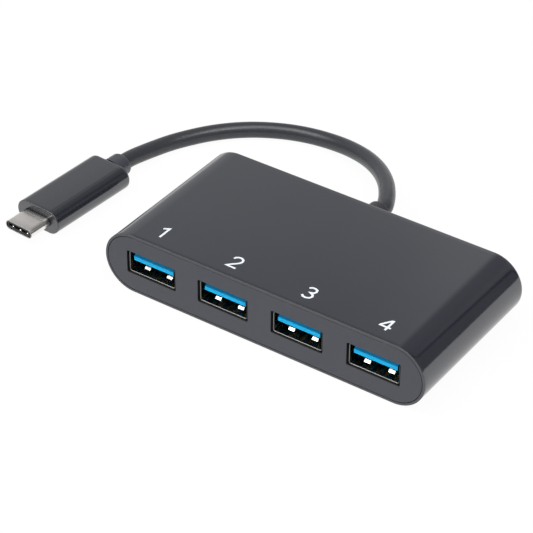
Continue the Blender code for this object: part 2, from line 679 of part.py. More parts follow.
def smooth(points, spans):
    """Smooth curve through a list of points: on each span a cubic, tangent to its neighbours' chord."""
    ends = [2 * points[0] - points[1], *points, 2 * points[-1] - points[-2]]
    curve = []
    for before, start, end, after in zip(ends, ends[1:], ends[2:], ends[3:]):
        for step in range(spans):
            t = step / spans
            curve.append(start + (end - before) * t / 2
                         + (2 * before - 5 * start + 4 * end - after) * t ** 2 / 2
                         + (3 * start - before - 3 * end + after) * t ** 3 / 2)
    curve.append(points[-1])
    return curve


def spaced(curve, spacing):
    """Points of a fine curve at even steps of about the given length, both ends kept."""
    travelled = [0.0]
    for start, end in zip(curve, curve[1:]):
        travelled.append(travelled[-1] + (end - start).length)
    count = max(2, round(travelled[-1] / spacing))
    picked = []
    for step in range(count + 1):
        goal = travelled[-1] * step / count
        nearest = min(range(len(curve)), key=lambda place: abs(travelled[place] - goal))
        picked.append(curve[nearest])
    return picked


def tube(name, points, radius, sides, material, parent):
    """Round tube along points, as a curve with filled ends."""
    line = bpy.data.curves.new(name, "CURVE")
    line.dimensions = "3D"
    line.bevel_depth = radius
    line.bevel_resolution = sides
    line.use_fill_caps = True
    line.materials.append(material)
    spline = line.splines.new("POLY")
    spline.points.add(len(points) - 1)
    for place, point in zip(spline.points, points):
        place.co = (*point, 1.0)
    item = bpy.data.objects.new(name, line)
    bpy.context.scene.collection.objects.link(item)
    item.parent = parent
    return item


def wire_route(index):
    """Points of one wire from its place in the jacket to its pad, kept in order across the board."""
    order = (index - (WIRE_COUNT - 1) / 2) / (WIRE_COUNT / 2)
    angle = math.acos(-order)
    level = math.sin(angle) if index % 2 else -math.sin(angle)
    start = Vector((-WIRE_RING * math.cos(angle), JACKET_END_Y - FIT, EXIT_Z + WIRE_RING * level))
    pad_x = (index - (WIRE_COUNT - 1) / 2) * WIRE_PITCH
    rest_z = COMPONENT_Z + WIRE_DIAMETER / 2
    end = Vector((pad_x, BOARD_REAR_Y - WIRE_LAP, rest_z))
    lead = Vector((start.x, start.y - WIRE_DIAMETER, start.z))
    touch = Vector((pad_x, end.y + WIRE_DIAMETER, rest_z))
    return [start, lead, (lead + touch) / 2, touch, end]


# Plug, in a frame whose origin is under the end of its neck and whose tip points to -Y

def mold_mesh():
    """Overmold: stadium section with rounded ends, a short neck behind, pockets for the shell and card."""
    rings = []
    for step in range(FILLET_STEPS + 1):
        angle = math.pi / 2 * step / FILLET_STEPS
        inset = MOLD_FRONT_ROUND * (1 - math.sin(angle))
        y = MOLD_FRONT_Y + MOLD_FRONT_ROUND * (1 - math.cos(angle))
        rings.append(level_ring(stadium(MOLD_WIDTH - 2 * inset, MOLD_HEIGHT - 2 * inset), y, MOLD_Z))
    for step in range(FILLET_STEPS + 1):
        angle = math.pi / 2 * step / FILLET_STEPS
        inset = MOLD_REAR_ROUND * (1 - math.cos(angle))
        y = MOLD_BACK_Y - MOLD_REAR_ROUND * (1 - math.sin(angle))
        rings.append(level_ring(stadium(MOLD_WIDTH - 2 * inset, MOLD_HEIGHT - 2 * inset), y, MOLD_Z))
    neck = []
    for y, inset in ((MOLD_BACK_Y - MOLD_REAR_ROUND, 0.0), (-NECK_TAPER, NECK_TAPER / 2), (0.0, NECK_TAPER)):
        neck.append(level_ring(stadium(NECK_WIDTH - 2 * inset, NECK_HEIGHT - 2 * inset), y, MOLD_Z))
    seat = stadium(PLUG_WIDTH + 2 * SNUG, PLUG_HEIGHT + 2 * SNUG)
    seat_back = MOLD_FRONT_Y + PLUG_SEAT
    half = CARD_WIDTH / 2 + FIT
    level = CARD_THICKNESS / 2 + FIT
    card_room = box((-half, seat_back - OVERSHOOT, MOLD_Z - level),
                    (half, seat_back + CARD_LENGTH + 2 * FIT, MOLD_Z + level))
    return worked(
        mesh_of("plug_overmold", loft(rings)),
        ("UNION", mesh_of("neck", loft(neck))),
        ("DIFFERENCE", mesh_of("seat", prism(seat, MOLD_FRONT_Y - OVERSHOOT, seat_back, MOLD_Z))),
        ("DIFFERENCE", mesh_of("card_room", card_room)),
    )


def plug_shell_mesh():
    """Drawn steel tube of the plug."""
    front = MOLD_FRONT_Y - PLUG_REACH
    back = MOLD_FRONT_Y + PLUG_SEAT - FIT
    inner = stadium(PLUG_WIDTH - 2 * PLUG_SHEET, PLUG_HEIGHT - 2 * PLUG_SHEET)
    return worked(
        mesh_of("plug_shell", prism(stadium(PLUG_WIDTH, PLUG_HEIGHT), front, back, MOLD_Z)),
        ("DIFFERENCE", mesh_of("plug_bore", prism(inner, front - OVERSHOOT, back + OVERSHOOT, MOLD_Z))),
    )


def plug_insulator_mesh():
    """Insulator that fills the plug's shell, with the mouth that takes the socket's tongue."""
    front = MOLD_FRONT_Y - PLUG_REACH + MOUTH_RECESS
    back = MOLD_FRONT_Y + PLUG_SEAT - FIT
    gap = 2 * (PLUG_SHEET + SNUG)
    return worked(
        mesh_of("plug_insulator", prism(stadium(PLUG_WIDTH - gap, PLUG_HEIGHT - gap), front, back, MOLD_Z)),
        ("DIFFERENCE", mesh_of("mouth", prism(stadium(MOUTH_WIDTH, MOUTH_HEIGHT), front - OVERSHOOT,
                                              front + MOUTH_DEPTH, MOLD_Z))),
    )


def plug_card_mesh():
    """Small board behind the plug's contacts."""
    front = MOLD_FRONT_Y + PLUG_SEAT + FIT
    return mesh_of("plug_board", box((-CARD_WIDTH / 2, front, MOLD_Z - CARD_THICKNESS / 2),
                                     (CARD_WIDTH / 2, front + CARD_LENGTH, MOLD_Z + CARD_THICKNESS / 2)))


# Assembly

def build_body(hub):
    """Sleeve and front panel."""
    plastic = finish("black_plastic", (0.035, 0.035, 0.038), 0.42)
    node("sleeve", sleeve_mesh(), plastic, hub)
    node("front_panel", panel_mesh(), finish("panel_plastic", (0.04, 0.04, 0.043), 0.5), hub)


def build_ports(hub):
    """One shell, tongue and set of contacts for each port."""
    steel = finish("bright_steel", (0.72, 0.71, 0.69), 0.28, 1.0)
    blue = finish("blue_insulator", (0.005, 0.16, 0.55), 0.4)
    gold = finish("gold_contact", (0.8, 0.58, 0.22), 0.3, 1.0)
    shell = shell_mesh()
    tongue = tongue_mesh()
    contact = contact_mesh()
    for index in range(PORT_COUNT):
        number = index + 1
        node(f"port_shell_{number}", shell, steel, hub, port_x(index))
        node(f"port_tongue_{number}", tongue, blue, hub, port_x(index))
        for place, x in enumerate(CONTACT_PLACES, start=1):
            node(f"port_{number}_contact_{place}", contact, gold, hub, port_x(index) + x)


def build_board(hub):
    """Circuit board and its components."""
    node("circuit_board", board_mesh(), finish("green_board", (0.02, 0.14, 0.06), 0.45), hub)
    epoxy = finish("black_epoxy", (0.02, 0.02, 0.022), 0.5)
    chip = package_mesh("hub_controller", 0.0, CHIP_SIZE, CHIP_SIZE, CHIP_HEIGHT)
    node("hub_controller", chip, epoxy, hub)
    can = finish("tinned_can", (0.7, 0.7, 0.7), 0.3, 1.0)
    crystal = package_mesh("clock_crystal", CRYSTAL_X, CRYSTAL_WIDTH, CRYSTAL_DEPTH, CRYSTAL_HEIGHT)
    node("clock_crystal", crystal, can, hub)
    node("voltage_regulator", regulator_mesh(), epoxy, hub)
    capacitor = capacitor_mesh()
    for number, side in enumerate((-1, 1), start=1):
        node(f"bulk_capacitor_{number}", capacitor, can, hub, side * CAPACITOR_X)


def build_cable(hub):
    """Strain relief, cable with its stub inside, and the wires to the board."""
    rubber = finish("cable_rubber", (0.03, 0.03, 0.034), 0.5)
    node("strain_relief", relief_mesh(), rubber, hub)
    node("cable_tail", jacket_mesh(), rubber, hub)
    leaves = Vector((0.0, CABLE_LEAD, 0.0))
    enters = Vector((-math.sin(PLUG_HEADING), math.cos(PLUG_HEADING), 0.0)) * CABLE_LEAD
    route = spaced(smooth(CABLE_ROUTE, END_STEPS), CABLE_SPACING * CABLE_DIAMETER)
    route[1:1] = [route[0] + leaves]
    route[-1:-1] = [route[-1] + enters]
    tube("cable", route, CABLE_RADIUS, CABLE_SIDES, rubber, hub)
    colours = ((0.5, 0.02, 0.02), (0.02, 0.02, 0.02), (0.6, 0.6, 0.6), (0.02, 0.3, 0.06),
               (0.02, 0.08, 0.5), (0.6, 0.45, 0.02), (0.35, 0.03, 0.35), (0.6, 0.2, 0.02))
    for index in range(WIRE_COUNT):
        number = index + 1
        insulation = finish(f"wire_insulation_{number}", colours[index % len(colours)], 0.5)
        tube(f"wire_{number}", wire_route(index), WIRE_DIAMETER / 2, WIRE_SIDES, insulation, hub)


def build_plug(hub):
    """Plug at the end of the cable."""
    end = CABLE_ROUTE[-1]
    gap = Vector((math.sin(PLUG_HEADING), -math.cos(PLUG_HEADING), 0.0)) * FIT
    plug = anchor("plug_place", (end.x + gap.x, end.y + gap.y, 0.0), PLUG_HEADING)
    plug.parent = hub
    node("plug_overmold", mold_mesh(), finish("overmold_plastic", (0.032, 0.032, 0.035), 0.48), plug)
    node("plug_shell", plug_shell_mesh(), finish("nickel_shell", (0.78, 0.77, 0.75), 0.2, 1.0), plug)
    node("plug_insulator", plug_insulator_mesh(), finish("plug_black", (0.015, 0.015, 0.016), 0.5), plug)
    node("plug_board", plug_card_mesh(), finish("plug_green", (0.02, 0.14, 0.06), 0.45), plug)


def main():
    """Clear the scene and build the hub."""
    for item in list(bpy.data.objects):
        bpy.data.objects.remove(item, do_unlink=True)
    hub = anchor("hub_place")
    build_body(hub)
    build_ports(hub)
    build_board(hub)
    build_cable(hub)
    build_plug(hub)
    bpy.context.view_layer.update()


main()
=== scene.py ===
"""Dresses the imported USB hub: camera, cable, small pieces, finishes and studio light. Metres, +Z up."""
import math

import bmesh
import bpy
import numpy as np
from mathutils import Matrix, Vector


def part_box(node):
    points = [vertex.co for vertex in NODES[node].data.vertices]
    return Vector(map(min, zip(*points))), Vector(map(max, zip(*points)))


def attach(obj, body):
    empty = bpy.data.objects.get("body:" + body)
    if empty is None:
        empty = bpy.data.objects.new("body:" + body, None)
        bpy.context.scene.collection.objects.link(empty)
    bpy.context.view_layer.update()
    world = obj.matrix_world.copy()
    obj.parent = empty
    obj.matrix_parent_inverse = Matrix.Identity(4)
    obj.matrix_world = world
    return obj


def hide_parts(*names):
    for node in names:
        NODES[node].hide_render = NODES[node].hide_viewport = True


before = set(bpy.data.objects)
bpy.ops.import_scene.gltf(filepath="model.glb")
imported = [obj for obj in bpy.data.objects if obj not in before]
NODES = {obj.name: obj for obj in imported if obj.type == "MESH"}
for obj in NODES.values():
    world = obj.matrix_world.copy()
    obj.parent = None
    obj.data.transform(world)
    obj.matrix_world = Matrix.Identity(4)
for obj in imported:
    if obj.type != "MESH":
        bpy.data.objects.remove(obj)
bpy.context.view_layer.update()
MM = 0.001

# Camera, as fitted to the body, the ports and the plug
CAMERA_PLACE = (0.22570, -0.34774, 0.30772)
CAMERA_AZIMUTH = math.radians(34.417)
CAMERA_ELEVATION = math.radians(35.773)
CAMERA_ROLL = math.radians(0.472)
CAMERA_LENS = 152.79
CAMERA_SENSOR = 36.0

# Sizes shared with the solids
BODY_WIDTH = 85.4 * MM
BODY_DEPTH = 42.1 * MM
BODY_HEIGHT = 15.6 * MM
SLEEVE_WALL = 1.5 * MM
REAR_WALL = 1.6 * MM
REAR_FILLET = 0.8 * MM
EDGE_BREAK = 0.1 * MM
RIM = 0.6 * MM
LEDGE_DEPTH = 2.3 * MM
PORT_COUNT = 4
PORT_PITCH = 19.8 * MM
PORT_RECESS = 0.4 * MM
PORT_CONTACTS = 4
LEAD_IN = 0.12 * MM
TONGUE_FACE = 1.1 * MM
TONGUE_LOW_Z = 8.18 * MM
TONGUE_WIDTH = 11.1 * MM
RELIEF_LENGTH = 7.5 * MM
RELIEF_BASE = 6.5 * MM
RELIEF_TIP = 5.9 * MM
RELIEF_NECK = 5.0 * MM
FIT = 0.3 * MM
MOLD_WIDTH = 13.1 * MM
MOLD_HEIGHT = 6.2 * MM
MOLD_LENGTH = 26.0 * MM
MOLD_FRONT_ROUND = 0.2 * MM
MOLD_REAR_ROUND = 1.0 * MM
NECK_WIDTH = 6.2 * MM
NECK_HEIGHT = 5.4 * MM
NECK_LENGTH = 4.2 * MM
PLUG_WIDTH = 8.25 * MM
PLUG_HEIGHT = 2.4 * MM
PLUG_REACH = 6.65 * MM
PLUG_SHEET = 0.22 * MM
PLUG_SEAT = 4.0 * MM
MOUTH_RECESS = 0.25 * MM
MOUTH_HEIGHT = 0.85 * MM
EXIT_Z = 8.3 * MM
CABLE_DIAMETER = 4.1 * MM
CABLE_LEAD = 1.2 * MM
CABLE_ROUTE = np.array([
    (0.0, 29.1, 8.3), (-0.6, 32.2, 8.2), (-2.8, 36.4, 7.75), (-6.4, 41.6, 6.9), (-11.5, 46.9, 5.7),
    (-17.7, 51.2, 4.5), (-24.6, 54.1, 3.3), (-31.2, 55.2, 2.5), (-37.0, 54.8, 2.2), (-42.2, 53.4, 2.1),
    (-46.9, 51.2, 2.1), (-51.1, 48.5, 2.1), (-54.9, 45.2, 2.1), (-58.3, 41.3, 2.1), (-61.2, 36.9, 2.1),
    (-63.7, 32.0, 2.15), (-65.4, 26.4, 2.45), (-66.5, 21.0, 2.9), (-66.9, 16.9, 3.1),
]) * MM + (0.0, -0.25 * MM, 0.0)
PLUG_HEADING = math.radians(-3.9)

# Places that follow from the sizes, those on the plug measured along it from its back end
FRONT_Y = -BODY_DEPTH / 2
REAR_Y = BODY_DEPTH / 2
SHELL_FRONT_Y = FRONT_Y + PORT_RECESS
PORT_X = (np.arange(PORT_COUNT) - (PORT_COUNT - 1) / 2) * PORT_PITCH
PLUG_PLACE = np.array((CABLE_ROUTE[-1][0] + math.sin(PLUG_HEADING) * FIT,
                       CABLE_ROUTE[-1][1] - math.cos(PLUG_HEADING) * FIT, 0.0))
GRIP_BACK = -NECK_LENGTH
GRIP_FRONT = GRIP_BACK - MOLD_LENGTH
SHELL_TIP = GRIP_FRONT - PLUG_REACH

# Details of the skins over the solids, the relief's taper in shares of its length
RUN_IN = 1.0 * MM
CABLE_GAP = 0.02 * MM
RELIEF_GAP = 0.05 * MM
RELIEF_FOOT = 0.15 * MM
RELIEF_ROUND = 0.5 * MM
RELIEF_BORE = 0.4 * MM
RELIEF_TAPER = (0.08, 0.9)
POLE_RADIUS = 0.001 * MM
SEAT_PLAY = 0.1 * MM
NECK_FLARE = 1.05
NECK_FLARE_LENGTH = 0.15 * MM
NECK_TAPER = 0.985
NECK_ROUND = 0.7 * MM
NECK_DROP = 0.35 * MM
NECK_BORE = 0.6 * MM

# Sprung pads and contacts in the plug's mouth, the rows of pads as side and depth behind the mouth
PAD_ROWS = ((-1, 0.2 * MM), (1, 0.6 * MM))
PAD_PLACES = (-2.3 * MM, 0.0, 2.3 * MM)
PAD_WIDTH = 0.7 * MM
PAD_LENGTH = 0.55 * MM
PAD_HEIGHT = 0.2 * MM
PAD_SINK = 0.01 * MM
PAD_FULLNESS = 0.6
CONTACT_COUNT = 12
CONTACT_PITCH = 0.5 * MM
CONTACT_WIDTH = 0.26 * MM
CONTACT_HEIGHT = 0.12 * MM
CONTACT_START = 1.3 * MM
CONTACT_END = 5.0 * MM

# Pads under each tongue
PORT_PAD_COUNT = 5
PORT_PAD_PITCH = 2.0 * MM
PORT_PAD_WIDTH = 0.6 * MM
PORT_PAD_START = 0.35 * MM
PORT_PAD_END = 1.1 * MM
PORT_PAD_DROP = 0.06 * MM
PORT_PAD_SINK = 0.1 * MM

# Printed port numbers, drawn as lines in half heights about the middle of each figure
FIGURE_HALF = 1.95 * MM
FIGURE_STROKE = 0.52 * MM
FIGURE_Y = -15.9 * MM
MITRE_LIMIT = 0.45
INK_LIFT = 0.004 * MM
INK_DEPTH = 0.02 * MM
INK_STEP = 0.004 * MM
FIGURES = (
    ([(-0.55, 0.62), (0.1, 1.0), (0.1, -1.0)],),
    ([(-0.6, 0.5), (-0.5, 0.78), (-0.22, 0.98), (0.15, 1.0), (0.48, 0.82), (0.6, 0.48), (0.5, 0.15),
      (0.2, -0.2), (-0.3, -0.66), (-0.6, -1.0), (0.66, -1.0)],),
    ([(-0.58, 0.72), (-0.3, 0.95), (0.06, 1.0), (0.42, 0.84), (0.52, 0.5), (0.38, 0.2), (-0.05, 0.06),
      (0.42, -0.12), (0.6, -0.48), (0.45, -0.82), (0.06, -1.0), (-0.34, -0.95), (-0.62, -0.7)],),
    ([(0.3, -1.0), (0.3, 1.0)], [(0.2, 0.93), (-0.66, -0.34)], [(-0.78, -0.42), (0.72, -0.42)]),
)

# Fineness of the surfaces
BODY_STEPS = 64
GRIP_STEPS = 40
SHELL_STEPS = 32
RELIEF_COLUMNS = 72
CABLE_SPANS = 24
CABLE_RINGS = 240
CABLE_COLUMNS = 48
PAD_GRID = 9
SHARP_ANGLE = math.radians(35)

# Lumps to a metre: slow drift of shade in plastic and metal, and fine grain on plastics, ink and wires
PLASTIC_DRIFT = 60.0
METAL_DRIFT = 350.0
GLOSS_GRAIN = 9000.0
DULL_GRAIN = 8000.0
PANEL_GRAIN = 7000.0
TONGUE_GRAIN = 6000.0
INK_GRAIN = 4000.0
WIRE_GRAIN = 1200.0
# Depths that part a face from the walls behind it
FACE_SKIN = 0.03 * MM
EDGE_SKIN = 0.02 * MM
SHEARED_SKIN = 0.01 * MM
# Length of the painted shade at the root of the plug's shell in front of the grip
SHELL_SHADE = 1.4 * MM
# Drawn lines to a turn round the cable, and ripples to a diameter along it
JACKET_LINES = (90.0, 14.0, 1.0)
# Rolling marks to a metre along each axis
SHELL_MARKS = (3000.0, 300.0, 3000.0)
CONTACT_MARKS = (2500.0, 300.0, 2500.0)
CAN_MARKS = (2500.0, 2500.0, 400.0)
# Copper runs on the boards, along the edges of cells: cells to a metre, and half a run's width in cells
TRACK_CELLS = 420.0
TRACK_HALF = 0.08
WIRE_COLOURS = ((0.5, 0.02, 0.02), (0.02, 0.02, 0.02), (0.6, 0.6, 0.6), (0.02, 0.3, 0.06),
                (0.02, 0.08, 0.5), (0.6, 0.45, 0.02), (0.35, 0.03, 0.35), (0.6, 0.2, 0.02))

# Floor, with the share of white that it shows the camera: the rest is lit paper, which keeps the shadow
FLOOR_REACH = 3.0
FLOOR_WHITE = 0.96
# Level of the world's light
WORLD_LEVEL = 0.3
# Screen behind, an upright arc round the hub at a reach in metres
SCREEN_REACH = 1.3
SCREEN_COLUMNS = 146
# Bearing on the screen in degrees to the right of +Y, and glow, dimmer towards the right, with a dark slit
SCREEN_GLOW = ((-95.0, 0.57), (-32.0, 0.57), (-28.8, 0.64), (-26.5, 0.78), (-20.0, 0.76),
               (-10.0, 0.46), (10.0, 0.44), (22.6, 0.375), (30.4, 0.31), (37.0, 0.24),
               (37.4, 0.0), (39.6, 0.0), (40.0, 0.18), (55.0, 0.17))
# Height on the screen in metres, and share of the glow, fading upwards
SCREEN_FADE = ((0.0, 1.0), (0.81, 1.0), (1.02, 0.69), (1.13, 0.59), (1.44, 0.5), (2.2, 0.5))
# Soft boxes aimed at the hub: name, place, width and height in metres, and watts
SOFT_BOXES = (("roof_box", (0.1, -0.3, 1.3), 1.0, 0.8, 8.0),
              ("right_strip", (0.68, -0.18, 1.25), 0.8, 0.25, 5.5),
              ("front_left_box", (-0.53, -0.58, 1.15), 0.8, 0.8, 8.0))


# Shader maths

class Value:
    """A shader socket that takes arithmetic: each operator adds one Math node to its node tree."""

    def __init__(self, finish, socket):
        self.finish = finish
        self.socket = socket

    def math(self, operation, *terms):
        """Math node of the given operation on the terms."""
        return self.finish.add("ShaderNodeMath", {"operation": operation}, dict(enumerate(terms)))

    def __add__(self, other):
        return self.math("ADD", self, other)

    def __radd__(self, other):
        return self.math("ADD", other, self)

    def __sub__(self, other):
        return self.math("SUBTRACT", self, other)

    def __rsub__(self, other):
        return self.math("SUBTRACT", other, self)

    def __mul__(self, other):
        return self.math("MULTIPLY", self, other)

    def __rmul__(self, other):
        return self.math("MULTIPLY", other, self)

    def above(self, edge):
        """1 where the value is over an edge, and 0 elsewhere."""
        return self.math("GREATER_THAN", self, edge)

    def off_middle(self, pitch):
        """Distance from the middle of the pitch the value is in: |fract(value / pitch) - 0.5| pitch."""
        share = self.math("FRACT", self * (1.0 / pitch))
        return self.math("ABSOLUTE", share - 0.5) * pitch


class Nodes:
    """A shader node tree, with nodes added by kind, settings and sockets."""

    def __init__(self, tree):
        self.tree = tree

    def feed(self, socket, value):
        """Set a socket to a constant, or link a value to it."""
        if isinstance(value, Value):
            self.tree.links.new(value.socket, socket)
        elif isinstance(value, (tuple, list)) and len(value) == 3 and socket.type == "RGBA":
            socket.default_value = (*value, 1.0)
        else:
            socket.default_value = value

    def add(self, kind, settings=None, sockets=None, out=0):
        """Node of a kind: its settings first, then its sockets, giving one of its outputs."""
        made = self.tree.nodes.new(kind)
        for key, value in (settings or {}).items():
            if key == "stops":
                self.set_stops(made.color_ramp, value)
            else:
                setattr(made, key, value)
        for key, value in (sockets or {}).items():
            self.feed(made.inputs[key], value)
        return Value(self, made.outputs[out])

    def set_stops(self, ramp, stops):
        """Grey levels of a ramp at places from 0 to 1, the first and the last stop at its ends."""
        for place, level in stops[1:-1]:
            ramp.elements.new(place).color = (level, level, level, 1.0)
        for element, (_, level) in ((ramp.elements[0], stops[0]), (ramp.elements[-1], stops[-1])):
            element.color = (level, level, level, 1.0)

    def show(self, value, output):
        """Link a value to the surface of the tree's output node."""
        self.feed(self.tree.nodes[output].inputs["Surface"], value)


class Finish(Nodes):
    """A node material round one Principled shader."""

    def __init__(self, name):
        self.material = bpy.data.materials.new(name)
        self.material.use_nodes = True
        super().__init__(self.material.node_tree)
        self.shader = self.tree.nodes["Principled BSDF"]

    def set(self, **sockets):
        """Principled sockets by name, with underscores for spaces."""
        for key, value in sockets.items():
            self.feed(self.shader.inputs[key.replace("_", " ")], value)

    def place(self, stretch=(1.0, 1.0, 1.0)):
        """Object coordinates in metres, stretched along each axis."""
        where = self.add("ShaderNodeTexCoord", out="Object")
        return self.add("ShaderNodeMapping", None, {"Vector": where, "Scale": stretch})

    def axis(self, name):
        """One Object coordinate, X, Y or Z, in metres."""
        where = self.add("ShaderNodeTexCoord", out="Object")
        return self.add("ShaderNodeSeparateXYZ", None, {0: where}, out=name)

    def along_plug(self):
        """Distance behind the plug's back end along its heading, so less than 0 on the plug:
        (y - y0) cos(heading) - (x - x0) sin(heading)."""
        c, s = math.cos(PLUG_HEADING), math.sin(PLUG_HEADING)
        return self.axis("Y") * c - self.axis("X") * s - (PLUG_PLACE[1] * c - PLUG_PLACE[0] * s)

    def noise(self, scale, detail=2.0, roughness=0.5, where=None):
        """Fractal noise, about 1 / scale metres from one lump to the next."""
        sockets = {"Scale": scale, "Detail": detail, "Roughness": roughness}
        sockets["Vector"] = where or self.place()
        return self.add("ShaderNodeTexNoise", {"noise_dimensions": "3D"}, sockets)

    def drift_and_speck(self, grain):
        """Slow drift of shade in a moulded plastic, and its speck, with a grain in lumps to a metre."""
        return self.noise(PLASTIC_DRIFT, 3.0), self.noise(grain, 3.0, 0.6)

    def blend(self, amount, first, second):
        """Colour between two colours."""
        return self.add("ShaderNodeMix", {"data_type": "RGBA"}, {0: amount, 6: first, 7: second}, out=2)

    def bump(self, height, distance):
        """Normal bumped by a height from 0 to 1 over a distance in metres."""
        return self.add("ShaderNodeBump", None, {"Height": height, "Distance": distance, "Strength": 1.0})


# Finishes

def moulded_plastic(name, dark, light, rough, grain, depth):
    """Moulded plastic: fine spark grain, slow drift of shade and a little unevenness in its gloss."""
    finish = Finish(name)
    drift, speck = finish.drift_and_speck(grain)
    finish.set(Base_Color=finish.blend(drift, dark, light))
    finish.set(Roughness=rough - 0.05 + drift * 0.06 + speck * 0.06)
    finish.set(Normal=finish.bump(speck, depth), IOR=1.5)
    return finish.material


def body_plastic(name):
    """Glossy moulded plastic, matt on the face of the rim and the broken edge round it."""
    finish = Finish(name)
    drift, speck = finish.drift_and_speck(GLOSS_GRAIN)
    rim = 1.0 - finish.axis("Y").above(FRONT_Y + EDGE_BREAK)
    finish.set(Base_Color=finish.blend(drift, (0.014, 0.016, 0.025), (0.019, 0.021, 0.031)))
    finish.set(Roughness=0.04 + drift * 0.05 + speck * 0.05 + rim * 0.4)
    finish.set(Normal=finish.bump(speck, 0.002 * MM), IOR=1.92)
    return finish.material


def panel_plastic(name):
    """Matt moulded plastic with a fine grain, with painted shade, near black and dull, on the cut walls
    behind its face.
    """
    finish = Finish(name)
    drift, speck = finish.drift_and_speck(PANEL_GRAIN)
    wall = finish.axis("Y").above(FRONT_Y + FACE_SKIN)
    face = finish.blend(drift, (0.028, 0.031, 0.044), (0.035, 0.038, 0.052))
    # Painted shade: the cut walls behind the face are near black, standing in for the shadow in the recesses
    # round the ports.
    finish.set(Base_Color=finish.blend(wall, face, (0.002, 0.002, 0.002)))
    finish.set(Roughness=0.29 + drift * 0.06 + speck * 0.06 + wall * 0.4)
    finish.set(Normal=finish.bump(speck, 0.01 * MM), IOR=1.6)
    return finish.material


def overmold_plastic(name):
    """Glossy moulded plastic on the grip, matt on its front edge, and duller on the neck behind it."""
    finish = Finish(name)
    drift, speck = finish.drift_and_speck(GLOSS_GRAIN)
    along = finish.along_plug()
    neck = along.above(GRIP_BACK)
    edge = along.above(GRIP_FRONT + EDGE_SKIN) - along.above(GRIP_FRONT + MOLD_FRONT_ROUND)
    grip = finish.blend(drift, (0.013, 0.015, 0.022), (0.018, 0.020, 0.028))
    finish.set(Base_Color=finish.blend(neck, grip, (0.018, 0.021, 0.035)))
    finish.set(Roughness=0.06 + drift * 0.05 + speck * 0.05 + neck * 0.3 + edge * 0.4)
    finish.set(Normal=finish.bump(speck, 0.001 * MM), IOR=2.0)
    return finish.material


def tongue_plastic(name):
    """Blue moulded plastic with a fine grain: bright on the tip, with painted shade deepening the slope
    above it, and painted shade, near black, underneath and on the sides."""
    finish = Finish(name)
    drift, speck = finish.drift_and_speck(TONGUE_GRAIN)
    height = finish.axis("Z")
    slope = height.above(TONGUE_LOW_Z + TONGUE_FACE)
    under = 1.0 - height.above(TONGUE_LOW_Z + EDGE_SKIN)
    flank = finish.axis("X").off_middle(PORT_PITCH).above(TONGUE_WIDTH / 2 - EDGE_SKIN)
    tip = finish.blend(drift, (0.0, 0.50, 0.96), (0.0, 0.55, 1.0))
    # Painted shade: the slope above the tip is a deeper blue, standing in for the shadow under the shell's
    # roof.
    slope_shaded = finish.blend(slope, tip, (0.0, 0.31, 0.66))
    # Painted shade: near black underneath and on the sides, standing in for the shadow inside the port.
    painted_shade = under.math("MAXIMUM", under, flank)
    finish.set(Base_Color=finish.blend(painted_shade, slope_shaded, (0.0, 0.03, 0.06)))
    finish.set(Roughness=0.45 + drift * 0.06 + speck * 0.06)
    finish.set(Normal=finish.bump(speck, 0.01 * MM), IOR=1.5, Specular_IOR_Level=0.2)
    return finish.material


def receptacle_steel(name):
    """Bright plated sheet: faint rolling marks, a duller bevel round the mouth and a dark sheared edge."""
    finish = Finish(name)
    lines = finish.noise(1.0, 3.0, 0.6, finish.place(SHELL_MARKS))
    drift = finish.noise(METAL_DRIFT, 2.0)
    depth = finish.axis("Y")
    sheared = 1.0 - depth.above(SHELL_FRONT_Y + SHEARED_SKIN)
    bevel = 1.0 - depth.above(SHELL_FRONT_Y + LEAD_IN)
    sheet = finish.blend(drift, (0.84, 0.83, 0.81), (0.77, 0.76, 0.73))
    mouth = finish.blend(bevel, sheet, (0.3, 0.3, 0.29))
    finish.set(Base_Color=finish.blend(sheared, mouth, (0.05, 0.05, 0.05)), Metallic=1.0)
    finish.set(Roughness=0.1 + lines * 0.08 + drift * 0.04 + bevel * 0.35)
    finish.set(Normal=finish.bump(lines, 0.001 * MM))
    return finish.material


def plug_nickel(name):
    """Satin nickel sheet with a duller, darker lip round its mouth, and painted shade darkening it towards
    its root.
    """
    finish = Finish(name)
    drift = finish.noise(METAL_DRIFT, 2.0)
    along = finish.along_plug()
    lip = 1.0 - along.above(SHELL_TIP + PLUG_SHEET / 2)
    # Painted shade: darker towards the grip, standing in for the shadow and the dark reflection of the grip
    # at the shell's root.
    shade = (along - GRIP_FRONT + SHELL_SHADE) * (1.0 / SHELL_SHADE)
    sheet = finish.blend(drift, (0.95, 0.92, 0.89), (0.89, 0.86, 0.83))
    root_shaded = finish.blend(shade, sheet, (0.15, 0.15, 0.15))
    finish.set(Base_Color=finish.blend(lip, root_shaded, (0.4, 0.39, 0.38)), Metallic=1.0)
    finish.set(Roughness=0.22 + drift * 0.06 + lip * 0.25)
    finish.set(Normal=finish.bump(drift, 0.001 * MM))
    return finish.material


def sheet_metal(name, colour, tint, rough, stretch, marks):
    """Plated sheet: rolling marks along one axis, tarnish drift and a slight waviness."""
    finish = Finish(name)
    lines = finish.noise(1.0, 3.0, 0.6, finish.place(stretch))
    drift = finish.noise(METAL_DRIFT, 2.0)
    finish.set(Base_Color=finish.blend(drift, colour, tint), Metallic=1.0)
    finish.set(Roughness=rough - 0.06 + lines * 0.1 + drift * 0.04)
    finish.set(Normal=finish.bump(lines, marks))
    return finish.material


def cable_jacket(name):
    """Soft jacket: fine drawn lines along the cable, faint cross ripples and a dull sheen."""
    finish = Finish(name)
    where = finish.add("ShaderNodeTexCoord", out="UV")
    stretched = finish.add("ShaderNodeMapping", None, {"Vector": where, "Scale": JACKET_LINES})
    drawn = finish.noise(1.0, 2.0, 0.5, stretched)
    speck = finish.noise(GLOSS_GRAIN, 2.0)
    finish.set(Base_Color=finish.blend(drawn, (0.028, 0.030, 0.036), (0.038, 0.040, 0.047)))
    finish.set(Roughness=0.26 + drawn * 0.08 + speck * 0.05)
    finish.set(Normal=finish.bump(drawn * 0.6 + speck * 0.4, 0.02 * MM), IOR=1.5)
    return finish.material


